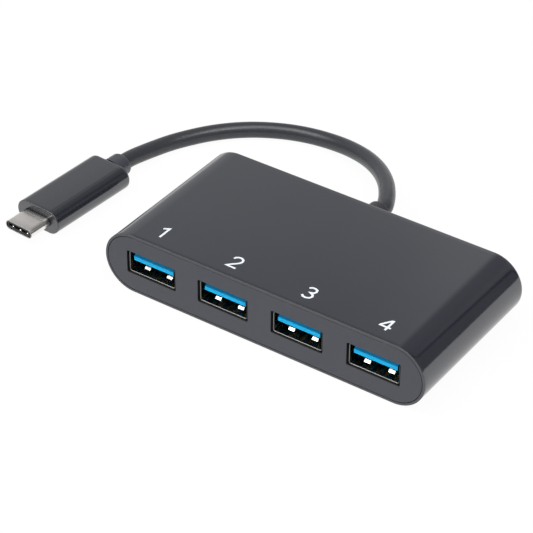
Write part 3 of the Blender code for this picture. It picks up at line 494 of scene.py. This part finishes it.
def solder_mask(name):
    """Circuit board: green mask with copper runs showing through as paler lines."""
    finish = Finish(name)
    cells = {"Vector": finish.place(), "Scale": TRACK_CELLS}
    runs = finish.add("ShaderNodeTexVoronoi", {"feature": "DISTANCE_TO_EDGE"}, cells)
    track = 1.0 - runs.above(TRACK_HALF)
    finish.set(Base_Color=finish.blend(track, (0.010, 0.075, 0.032), (0.025, 0.16, 0.07)))
    finish.set(Roughness=0.35 + track * 0.1, Normal=finish.bump(track, 0.04 * MM))
    return finish.material


def printed_ink(name):
    """White screen print: slightly uneven cover."""
    finish = Finish(name)
    cover = finish.noise(INK_GRAIN, 3.0)
    finish.set(Base_Color=finish.blend(cover, (0.74, 0.80, 0.86), (0.86, 0.90, 0.95)))
    finish.set(Roughness=0.42 + cover * 0.1)
    return finish.material


def wire_skin(name, colour):
    """Wire insulation: one colour with faint streaks."""
    finish = Finish(name)
    streak = finish.noise(WIRE_GRAIN, 2.0)
    finish.set(Base_Color=finish.blend(streak, tuple(0.8 * c for c in colour), colour))
    finish.set(Roughness=0.4 + streak * 0.1)
    return finish.material


# Shapes

def new_piece(name, points, faces, finish, smooth=True, uv=None):
    """Object at the origin from arrays of points and faces, riding on the hub."""
    mesh = bpy.data.meshes.new(name)
    mesh.from_pydata(points.tolist(), [], [list(face) for face in faces])
    mesh.materials.append(finish)
    if uv is not None:
        layer = mesh.uv_layers.new(name="UVMap")
        layer.data.foreach_set("uv", uv.reshape(-1).astype(np.float32))
    if smooth:
        mesh.shade_smooth()
        mesh.set_sharp_from_angle(angle=SHARP_ANGLE)
    mesh.validate()
    mesh.update()
    piece = bpy.data.objects.new(name, mesh)
    bpy.context.scene.collection.objects.link(piece)
    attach(piece, "root")
    return piece


def recalculate(piece):
    """Turn a closed piece's faces outwards."""
    shape = bmesh.new()
    shape.from_mesh(piece.data)
    bmesh.ops.recalc_face_normals(shape, faces=shape.faces)
    shape.to_mesh(piece.data)
    shape.free()


def stadium(width, height, steps):
    """Two half circles joined by straight sides: each half swept from end to end of its diameter."""
    radius = height / 2
    angle = np.linspace(-np.pi / 2, np.pi / 2, steps + 1)
    right = np.stack([width / 2 - radius + radius * np.cos(angle), radius * np.sin(angle)], axis=1)
    return np.vstack([right, -right])


def stacked(rings, z):
    """Surface through rings given as (depth y, outline), square to Y about the height z, capped flat."""
    columns = len(rings[0][1])
    levels = [np.stack([ring[:, 0], np.full(columns, y), z + ring[:, 1]], axis=1) for y, ring in rings]
    quads = grid_faces(len(rings), columns).tolist()
    first = list(range(columns))
    last = list(range(columns * (len(rings) - 1), columns * len(rings)))
    return np.concatenate(levels), quads + [first[::-1], last]


def quarter(steps):
    """Sine and cosine over a quarter turn."""
    angle = np.linspace(0.0, np.pi / 2, steps + 1)
    return np.stack([np.sin(angle), np.cos(angle)], axis=1)


def front_round(ring, y, radius, steps):
    """Rings over a rounded front edge at y: a quarter turn from the drawn-in face out to the side."""
    return [(y + radius * (1 - c), ring(radius * (1 - t))) for t, c in quarter(steps)]


def rear_round(ring, y, radius, steps):
    """Rings over a rounded rear edge at y: a quarter turn from the side in to the drawn-in face."""
    return [(y - radius * (1 - t), ring(radius * (1 - c))) for t, c in quarter(steps)]


def grid_faces(rows, columns):
    """Quads of a grid that closes on itself along its columns."""
    row, column = np.meshgrid(np.arange(rows - 1), np.arange(columns), indexing="ij")
    after = (column + 1) % columns
    quads = np.stack([row * columns + column, row * columns + after,
                      (row + 1) * columns + after, (row + 1) * columns + column], axis=-1)
    return quads.reshape(-1, 4)


def open_faces(rows, columns):
    """Quads of a grid that stays open on all sides."""
    row, column = np.meshgrid(np.arange(rows - 1), np.arange(columns - 1), indexing="ij")
    low = row * columns + column
    return np.stack([low, low + columns, low + columns + 1, low + 1], axis=-1).reshape(-1, 4)


def grid_uv(rows, columns, lengths):
    """Corner coordinates for grid_faces: turns round the form, and diameters along it."""
    row, column = np.meshgrid(np.arange(rows - 1), np.arange(columns), indexing="ij")
    u0 = column / columns
    u1 = (column + 1) / columns
    v0 = lengths[row]
    v1 = lengths[row + 1]
    corners = np.stack([np.stack([u0, v0], -1), np.stack([u1, v0], -1),
                        np.stack([u1, v1], -1), np.stack([u0, v1], -1)], axis=2)
    return corners.reshape(-1, 2)


def smooth_path(points, spans):
    """Catmull-Rom curve: on each span a cubic whose end slopes are half the neighbouring points' chords."""
    ends = np.vstack([2 * points[0] - points[1], points, 2 * points[-1] - points[-2]])
    before, start, end, after = ends[:-3, None], ends[1:-2, None], ends[2:-1, None], ends[3:, None]
    t = (np.arange(spans) / spans)[None, :, None]
    curve = start + ((end - before) * t + (2 * before - 5 * start + 4 * end - after) * t ** 2
                     + (3 * start - before - 3 * end + after) * t ** 3) / 2
    return np.vstack([curve.reshape(-1, 3), points[-1]])


def even_path(path, count):
    """The same path at equal steps of its length, with its travelled length."""
    travelled = np.concatenate([[0.0], np.cumsum(np.linalg.norm(np.diff(path, axis=0), axis=1))])
    goal = np.linspace(0.0, travelled[-1], count)
    return np.stack([np.interp(goal, travelled, path[:, axis]) for axis in range(3)], axis=1), goal


def swept_tube(path, radius, columns):
    """Circle of a radius carried along a path, square to it, with level sides: side = forward x up."""
    forward = np.gradient(path, axis=0)
    forward /= np.linalg.norm(forward, axis=1, keepdims=True)
    side = np.cross(forward, (0.0, 0.0, 1.0))
    side /= np.linalg.norm(side, axis=1, keepdims=True)
    lift = np.cross(side, forward)
    angle = np.arange(columns) * 2 * np.pi / columns
    ring = np.cos(angle)[None, :, None] * side[:, None] + np.sin(angle)[None, :, None] * lift[:, None]
    return (path[:, None] + radius * ring).reshape(-1, 3)


def box_row(places, width, y, z):
    """Opposite corners of a row of boxes: a width about places along X, between two depths and heights."""
    corners = ((places - width / 2, y[0], z[0]), (places + width / 2, y[1], z[1]))
    return np.array([np.stack(np.broadcast_arrays(*corner), axis=1) for corner in corners])


def box_set(lows, highs):
    """Many boxes at once: eight corners and six faces for each pair of opposite corners."""
    pick = np.array([(x, y, z) for z in (0, 1) for y in (0, 1) for x in (0, 1)])
    points = np.where(pick[None] == 0, lows[:, None], highs[:, None])
    sides = np.array([(0, 2, 3, 1), (4, 5, 7, 6), (0, 1, 5, 4), (2, 6, 7, 3), (0, 4, 6, 2), (1, 3, 7, 5)])
    faces = sides[None] + 8 * np.arange(len(lows))[:, None, None]
    return points.reshape(-1, 3), faces.reshape(-1, 4)


def on_plug(points):
    """Points measured from the plug's back end, turned about Z by its heading and moved to its place."""
    c, s = math.cos(PLUG_HEADING), math.sin(PLUG_HEADING)
    return points @ np.array([(c, s, 0.0), (-s, c, 0.0), (0.0, 0.0, 1.0)]) + PLUG_PLACE


def standing_at(place, right, up, back):
    """Matrix of an object at a place, with its X, Y and Z along the right, up and back axes."""
    view = Matrix.Identity(4)
    for row in range(3):
        view[row][:] = (right[row], up[row], back[row], place[row])
    return view


# Camera

def make_camera():
    """Camera at the fitted place, looking along minus its back axis, turned by the roll."""
    a, e, r = CAMERA_AZIMUTH, CAMERA_ELEVATION, CAMERA_ROLL
    right = np.array((math.cos(a), math.sin(a), 0.0))
    back = np.array((math.sin(a) * math.cos(e), -math.cos(a) * math.cos(e), math.sin(e)))
    up = np.cross(back, right)
    tilted_right = math.cos(r) * right + math.sin(r) * up
    tilted_up = -math.sin(r) * right + math.cos(r) * up
    data = bpy.data.cameras.new("photo_camera")
    data.sensor_width = CAMERA_SENSOR
    data.lens = CAMERA_LENS
    data.clip_start = 0.01
    camera = bpy.data.objects.new("photo_camera", data)
    camera.matrix_world = standing_at(CAMERA_PLACE, tilted_right, tilted_up, back)
    bpy.context.scene.collection.objects.link(camera)
    bpy.context.scene.camera = camera


# Cable

def make_cable():
    """Jacketed cable: a tube along the smooth route, a little way into the relief and the plug's neck."""
    leaves = np.array((0.0, 1.0, 0.0)) * CABLE_LEAD
    enters = np.array((-math.sin(PLUG_HEADING), math.cos(PLUG_HEADING), 0.0)) * CABLE_LEAD
    start = CABLE_ROUTE[0] - leaves / 2
    end = CABLE_ROUTE[-1] - enters / 2
    route = np.vstack([start, CABLE_ROUTE[0] + leaves, CABLE_ROUTE[1:-1], CABLE_ROUTE[-1] + enters, end])
    path, travelled = even_path(smooth_path(route, CABLE_SPANS), CABLE_RINGS)
    points = swept_tube(path, CABLE_DIAMETER / 2, CABLE_COLUMNS)
    faces = grid_faces(CABLE_RINGS, CABLE_COLUMNS)
    uv = grid_uv(CABLE_RINGS, CABLE_COLUMNS, travelled / CABLE_DIAMETER)
    finish = cable_jacket("cable_rubber_finish")
    cable = new_piece("cable_jacket", points, faces, finish, uv=uv)
    cable.data.flip_normals()
    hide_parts("cable")
    return cable, path, float(travelled[-1])


# Skins over the moulded solids

def make_body_skin(finish):
    """Sleeve: stadium rings from the panel's ledge, round the front edge, along the body and over the rear
    fillet, closed behind, with the cavity inside as its inner wall."""
    def ring(inset):
        """Section of the body drawn in by an inset."""
        return stadium(BODY_WIDTH - 2 * inset, BODY_HEIGHT - 2 * inset, BODY_STEPS)
    rings = [(REAR_Y - REAR_WALL, ring(SLEEVE_WALL)), (FRONT_Y + LEDGE_DEPTH, ring(SLEEVE_WALL)),
             (FRONT_Y + LEDGE_DEPTH, ring(RIM)), (FRONT_Y, ring(RIM))]
    rings += front_round(ring, FRONT_Y, EDGE_BREAK, 4)
    rings += [(y, ring(0.0)) for y in np.linspace(FRONT_Y + RUN_IN, REAR_Y - REAR_FILLET - RUN_IN, 6)]
    rings += rear_round(ring, REAR_Y, REAR_FILLET, 8)
    points, faces = stacked(rings, BODY_HEIGHT / 2)
    skin = new_piece("body_skin", points, faces, finish)
    recalculate(skin)
    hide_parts("sleeve")


def make_relief(finish):
    """Strain relief: a profile of depths and radii turned round the cable's axis."""
    tip = REAR_Y + RELIEF_LENGTH
    inside = REAR_Y - REAR_WALL - FIT
    foot = REAR_Y + RELIEF_GAP
    bore = CABLE_DIAMETER / 2 + CABLE_GAP
    profile = [(inside, 0.0), (inside, RELIEF_NECK / 2), (foot, RELIEF_NECK / 2),
               (foot, RELIEF_BASE / 2 - RELIEF_FOOT), (foot + RELIEF_FOOT, RELIEF_BASE / 2)]
    span = np.linspace(*RELIEF_TAPER, 12)
    taper = RELIEF_BASE / 2 + (RELIEF_TIP - RELIEF_BASE) / 2 * span
    profile += list(zip(REAR_Y + RELIEF_LENGTH * span, taper))
    profile += [(tip - RELIEF_ROUND * (1 - t), RELIEF_TIP / 2 - RELIEF_ROUND * (1 - c))
                for t, c in quarter(6)]
    profile += [(tip, bore), (tip - RELIEF_BORE, bore), (tip - RELIEF_BORE, 0.0)]
    profile = np.array(profile)
    angle = np.arange(RELIEF_COLUMNS) * 2 * np.pi / RELIEF_COLUMNS
    radius = np.maximum(profile[:, 1:], POLE_RADIUS)
    points = np.stack([radius * np.cos(angle), np.repeat(profile[:, :1], RELIEF_COLUMNS, axis=1),
                       EXIT_Z + radius * np.sin(angle)], axis=-1).reshape(-1, 3)
    faces = grid_faces(len(profile), RELIEF_COLUMNS)
    relief = new_piece("relief_boot", points, faces, finish)
    recalculate(relief)
    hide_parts("strain_relief")
    return relief


def make_plug_skin(finish):
    """Overmold: stadium rings from the shell's seat, over the front edge, along the grip, over the rear
    edge and down to the neck, which narrows to the cable."""
    def ring(inset):
        """Section of the grip drawn in by an inset."""
        return stadium(MOLD_WIDTH - 2 * inset, MOLD_HEIGHT - 2 * inset, GRIP_STEPS)
    seat = stadium(PLUG_WIDTH + SEAT_PLAY, PLUG_HEIGHT + SEAT_PLAY, GRIP_STEPS)
    neck = stadium(NECK_WIDTH, NECK_HEIGHT, GRIP_STEPS)
    slim = neck * NECK_TAPER
    rings = [(GRIP_FRONT + PLUG_SEAT, seat), (GRIP_FRONT, seat)]
    rings += front_round(ring, GRIP_FRONT, MOLD_FRONT_ROUND, 5)
    plain = np.linspace(GRIP_FRONT + RUN_IN, GRIP_BACK - MOLD_REAR_ROUND - RUN_IN, 5)
    rings += [(y, ring(0.0)) for y in plain]
    rings += rear_round(ring, GRIP_BACK, MOLD_REAR_ROUND, 8)
    rings += [(GRIP_BACK, neck * NECK_FLARE), (GRIP_BACK + NECK_FLARE_LENGTH, neck), (-NECK_ROUND, slim)]
    rings += [(-NECK_ROUND * (1 - t), slim - NECK_DROP * (1 - c) * np.sign(neck)) for t, c in quarter(5)[1:]]
    angle = np.linspace(-np.pi / 2, np.pi * 1.5, len(neck), endpoint=False)
    hole = np.stack([np.cos(angle), np.sin(angle)], axis=1) * (CABLE_DIAMETER / 2 + CABLE_GAP)
    rings += [(0.0, hole), (-NECK_BORE, hole)]
    points, faces = stacked(rings, MOLD_HEIGHT / 2)
    skin = new_piece("plug_grip", on_plug(points), faces, finish)
    recalculate(skin)
    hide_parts("plug_overmold")
    return skin


def make_plug_shell(finish):
    """Plug shell: a drawn stadium tube with a rolled lip, from its seat to its mouth and back inside."""
    def ring(inset):
        """Section of the shell drawn in by an inset."""
        return stadium(PLUG_WIDTH - 2 * inset, PLUG_HEIGHT - 2 * inset, SHELL_STEPS)
    seat = GRIP_FRONT + PLUG_SEAT - FIT
    lip = PLUG_SHEET / 2
    rings = [(seat, ring(0.0)), (SHELL_TIP + 2 * RUN_IN, ring(0.0))]
    rings += [(SHELL_TIP + lip * (1 - t), ring(lip * (1 - c))) for t, c in quarter(5)]
    rings += [(SHELL_TIP + lip * (1 - c), ring(PLUG_SHEET - lip * (1 - t))) for t, c in quarter(5)[1:]]
    rings += [(seat, ring(PLUG_SHEET))]
    points, faces = stacked(rings, MOLD_HEIGHT / 2)
    here = np.arange(len(ring(0.0)))
    after = np.roll(here, -1)
    inner = len(here) * (len(rings) - 1)
    root = np.stack([here, after, inner + after, inner + here], axis=1)
    faces = faces[:-2] + root.tolist()
    shell = new_piece("plug_mouth_shell", on_plug(points), faces, finish)
    recalculate(shell)
    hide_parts("plug_shell")
    return shell


def make_plug_springs(steel, gold):
    """Inside the plug's mouth: three sprung pads on either side, each a hump sin(pi u) sin(pi v) to a power,
    and a row of contacts behind them."""
    front = SHELL_TIP + MOUTH_RECESS
    middle = MOLD_HEIGHT / 2
    half = MOUTH_HEIGHT / 2
    share = np.linspace(0.0, 1.0, PAD_GRID)
    u, v = np.meshgrid(share, share, indexing="ij")
    hump = np.sin(np.pi * u) ** PAD_FULLNESS * np.sin(np.pi * v) ** PAD_FULLNESS
    pads = []
    for side, depth in PAD_ROWS:
        for x in PAD_PLACES:
            z = middle + side * (half - hump * PAD_HEIGHT + PAD_SINK)
            pad = [x + (u - 0.5) * PAD_WIDTH, front + depth + v * PAD_LENGTH, z]
            pads.append(np.stack(pad, axis=-1).reshape(-1, 3))
    faces = np.concatenate([open_faces(PAD_GRID, PAD_GRID) + u.size * k for k in range(len(pads))])
    springs = new_piece("plug_spring_pads", on_plug(np.concatenate(pads)), faces, steel)
    places = (np.arange(CONTACT_COUNT) - (CONTACT_COUNT - 1) / 2) * CONTACT_PITCH
    depths = (front + CONTACT_START, front + CONTACT_END)
    rows = []
    for side in (-1, 1):
        heights = np.sort([middle + side * half, middle + side * (half - CONTACT_HEIGHT)])
        rows.append(box_row(places, CONTACT_WIDTH, depths, heights))
    points, faces = box_set(*np.concatenate(rows, axis=1))
    contacts = new_piece("plug_contacts", on_plug(points), faces, gold, smooth=False)
    return [springs, contacts]


# Small pieces on the solids

def stroke(line, width, thickness):
    """Flat band along a line: each point moved half a width to either side along its mitre, and lifted."""
    along = np.diff(line, axis=0)
    along /= np.linalg.norm(along, axis=1, keepdims=True)
    normal = np.stack([-along[:, 1], along[:, 0]], axis=1)
    before = np.vstack([normal[:1], normal])
    after = np.vstack([normal, normal[-1:]])
    mitre = before + after
    mitre /= np.linalg.norm(mitre, axis=1, keepdims=True)
    mitre /= np.maximum(np.sum(mitre * after, axis=1, keepdims=True), MITRE_LIMIT)
    flat = np.stack([line + mitre * width / 2, line - mitre * width / 2], axis=1)
    level = np.zeros((len(line), 2, 1))
    low = np.concatenate([flat, level], axis=2)
    high = np.concatenate([flat[:, ::-1], level + thickness], axis=2)
    points = np.concatenate([low, high], axis=1).reshape(-1, 3)
    faces = grid_faces(len(line), 4)
    ends = np.array([(3, 2, 1, 0), np.arange(4) + 4 * (len(line) - 1)])
    return points, np.vstack([faces, ends])


def make_numerals(ink):
    """Port numbers printed on the top, one behind each port: bands along each figure's lines, each line of
    a figure a little thicker than the one before it."""
    for index, figure in enumerate(FIGURES):
        points = np.empty((0, 3))
        faces = np.empty((0, 4), dtype=int)
        for layer, line in enumerate(figure):
            band, quads = stroke(np.array(line) * FIGURE_HALF, FIGURE_STROKE, INK_DEPTH + INK_STEP * layer)
            faces = np.vstack([faces, quads + len(points)])
            points = np.vstack([points, band])
        points = points + (PORT_X[index], FIGURE_Y, BODY_HEIGHT + INK_LIFT)
        piece = new_piece(f"port_number_{index + 1}", points, faces, ink, smooth=False)
        recalculate(piece)


def make_port_pads(gold):
    """Row of flat pads near the front of each tongue's lower face."""
    offsets = (np.arange(PORT_PAD_COUNT) - (PORT_PAD_COUNT - 1) / 2) * PORT_PAD_PITCH
    heights = (TONGUE_LOW_Z - PORT_PAD_DROP, TONGUE_LOW_Z + PORT_PAD_SINK)
    for index, x in enumerate(PORT_X):
        low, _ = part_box(f"port_tongue_{index + 1}")
        depths = (low[1] + PORT_PAD_START, low[1] + PORT_PAD_END)
        points, faces = box_set(*box_row(x + offsets, PORT_PAD_WIDTH, depths, heights))
        new_piece(f"port_pads_{index + 1}", points, faces, gold, smooth=False)


# Floor and light

def make_floor():
    """Pale sweep under the hub: white to the camera and in reflections, and lit as paper otherwise."""
    finish = Finish("paper_sweep")
    finish.set(Base_Color=(0.9, 0.9, 0.9), Roughness=0.9, Specular_IOR_Level=0.0)
    ray = finish.add("ShaderNodeLightPath", out="Is Camera Ray")
    mirror = finish.add("ShaderNodeLightPath", out="Is Glossy Ray")
    through = finish.add("ShaderNodeLightPath", out="Is Transmission Ray")
    white = finish.add("ShaderNodeEmission", None, {"Color": (1.0, 1.0, 1.0), "Strength": 1.0})
    paper = Value(finish, finish.shader.outputs[0])
    share = ray * FLOOR_WHITE + mirror + through
    finish.show(finish.add("ShaderNodeMixShader", None, {0: share, 1: paper, 2: white}), "Material Output")
    corners = np.array([(-1, -1, 0), (1, -1, 0), (1, 1, 0), (-1, 1, 0)]) * FLOOR_REACH
    mesh = bpy.data.meshes.new("paper_sweep")
    mesh.from_pydata(corners.tolist(), [], [(0, 1, 2, 3)])
    mesh.materials.append(finish.material)
    floor = bpy.data.objects.new("paper_sweep", mesh)
    bpy.context.scene.collection.objects.link(floor)


def make_lamp(name, place, width, height, power):
    """Soft box of a width and height, aimed from a place at the hub."""
    data = bpy.data.lights.new(name, "AREA")
    data.shape = "RECTANGLE"
    data.size = width
    data.size_y = height
    data.energy = power
    back = np.array(place) / np.linalg.norm(place)
    side = np.cross((0.0, 0.0, 1.0), back)
    side /= np.linalg.norm(side)
    lamp = bpy.data.objects.new(name, data)
    lamp.matrix_world = standing_at(place, side, np.cross(back, side), back)
    lamp.visible_camera = False
    bpy.context.scene.collection.objects.link(lamp)


def make_screen(name, reach, glow, fade):
    """Studio screen: an upright arc at a reach from the hub, from the first glow to the last. Its light is
    the glow at its bearing times the fade at its height."""
    first, last = glow[0][0], glow[-1][0]
    high = fade[-1][0]
    finish = Finish(name)
    where = finish.add("ShaderNodeTexCoord", out="UV")
    across = finish.add("ShaderNodeSeparateXYZ", None, {0: where}, out="X")
    up = finish.add("ShaderNodeSeparateXYZ", None, {0: where}, out="Y")
    glow_stops = [((bearing - first) / (last - first), level) for bearing, level in glow]
    fade_stops = [(z / high, part) for z, part in fade]
    level = finish.add("ShaderNodeValToRGB", {"stops": glow_stops}, {0: across})
    share = finish.add("ShaderNodeValToRGB", {"stops": fade_stops}, {0: up})
    finish.set(Base_Color=(0.0, 0.0, 0.0), Specular_IOR_Level=0.0, Roughness=1.0)
    finish.set(Emission_Color=level * share, Emission_Strength=1.0)
    along = np.linspace(0.0, 1.0, SCREEN_COLUMNS)
    bearing = np.radians(first + (last - first) * along)
    foot = np.stack([reach * np.sin(bearing), reach * np.cos(bearing), np.zeros(SCREEN_COLUMNS)], axis=1)
    points = np.vstack([foot, foot + (0.0, 0.0, high)])
    faces = open_faces(2, SCREEN_COLUMNS)
    uv = np.stack([np.tile(along, 2), np.repeat((0.0, 1.0), SCREEN_COLUMNS)], axis=1)
    mesh = bpy.data.meshes.new(name)
    mesh.from_pydata(points.tolist(), [], faces.tolist())
    mesh.uv_layers.new(name="UVMap").data.foreach_set("uv", uv[faces].reshape(-1).astype(np.float32))
    mesh.materials.append(finish.material)
    screen = bpy.data.objects.new(name, mesh)
    screen.visible_camera = False
    screen.visible_shadow = False
    bpy.context.scene.collection.objects.link(screen)


def make_light():
    """Dim even world, a wide screen behind with a dark slit in it, and three soft boxes."""
    world = bpy.data.worlds.new("studio")
    bpy.context.scene.world = world
    world.use_nodes = True
    sky = Nodes(world.node_tree)
    even = sky.add("ShaderNodeBackground", None, {"Color": (1.0, 1.0, 1.0), "Strength": WORLD_LEVEL})
    sky.show(even, "World Output")
    make_screen("back_screen", SCREEN_REACH, SCREEN_GLOW, SCREEN_FADE)
    for box in SOFT_BOXES:
        make_lamp(*box)
    bpy.context.scene.view_settings.view_transform = "Standard"


# Dressing

def dress_solids():
    """Give every solid that carries over its finish."""
    steel = receptacle_steel("bright_steel_finish")
    nickel = plug_nickel("nickel_finish")
    gold = sheet_metal("gold_finish", (0.86, 0.62, 0.25), (0.78, 0.54, 0.2), 0.42, CONTACT_MARKS, 0.003 * MM)
    can = sheet_metal("can_finish", (0.7, 0.7, 0.7), (0.62, 0.62, 0.62), 0.3, CAN_MARKS, 0.004 * MM)
    body = body_plastic("body_finish")
    panel = panel_plastic("panel_finish")
    mold = overmold_plastic("overmold_finish")
    blue = tongue_plastic("blue_finish")
    black = moulded_plastic("plug_black_finish", (0.012, 0.012, 0.013), (0.018, 0.018, 0.02), 0.42,
                            PANEL_GRAIN, 0.01 * MM)
    epoxy = moulded_plastic("epoxy_finish", (0.016, 0.016, 0.017), (0.024, 0.024, 0.025), 0.5,
                            DULL_GRAIN, 0.02 * MM)
    rubber = moulded_plastic("relief_finish", (0.026, 0.026, 0.029), (0.034, 0.034, 0.037), 0.42,
                             DULL_GRAIN, 0.016 * MM)
    board = solder_mask("solder_mask_finish")
    finishes = {
        "sleeve": body, "front_panel": panel, "circuit_board": board, "plug_board": board,
        "hub_controller": epoxy, "clock_crystal": can, "voltage_regulator": epoxy,
        "bulk_capacitor_1": can, "bulk_capacitor_2": can, "strain_relief": rubber, "cable_tail": rubber,
        "plug_overmold": mold, "plug_shell": nickel, "plug_insulator": black,
    }
    for number in range(1, PORT_COUNT + 1):
        finishes[f"port_shell_{number}"] = steel
        finishes[f"port_tongue_{number}"] = blue
        for place in range(1, PORT_CONTACTS + 1):
            finishes[f"port_{number}_contact_{place}"] = gold
    for number, colour in enumerate(WIRE_COLOURS, start=1):
        finishes[f"wire_{number}"] = wire_skin(f"wire_skin_{number}", colour)
    for name, finish in finishes.items():
        NODES[name].data.materials.clear()
        NODES[name].data.materials.append(finish)
    return {"body": body, "rubber": rubber, "mold": mold, "nickel": nickel, "gold": gold}


make_camera()
CABLE, PATH, LENGTH = make_cable()
FINISH = dress_solids()
make_body_skin(FINISH["body"])
ON_CABLE = [make_relief(FINISH["rubber"]), make_plug_skin(FINISH["mold"]), make_plug_shell(FINISH["nickel"])]
ON_CABLE += make_plug_springs(FINISH["nickel"], FINISH["gold"])
ON_CABLE += [NODES[name] for name in ("plug_insulator", "plug_board")]
make_numerals(printed_ink("port_print"))
make_port_pads(FINISH["gold"])
make_floor()
make_light()
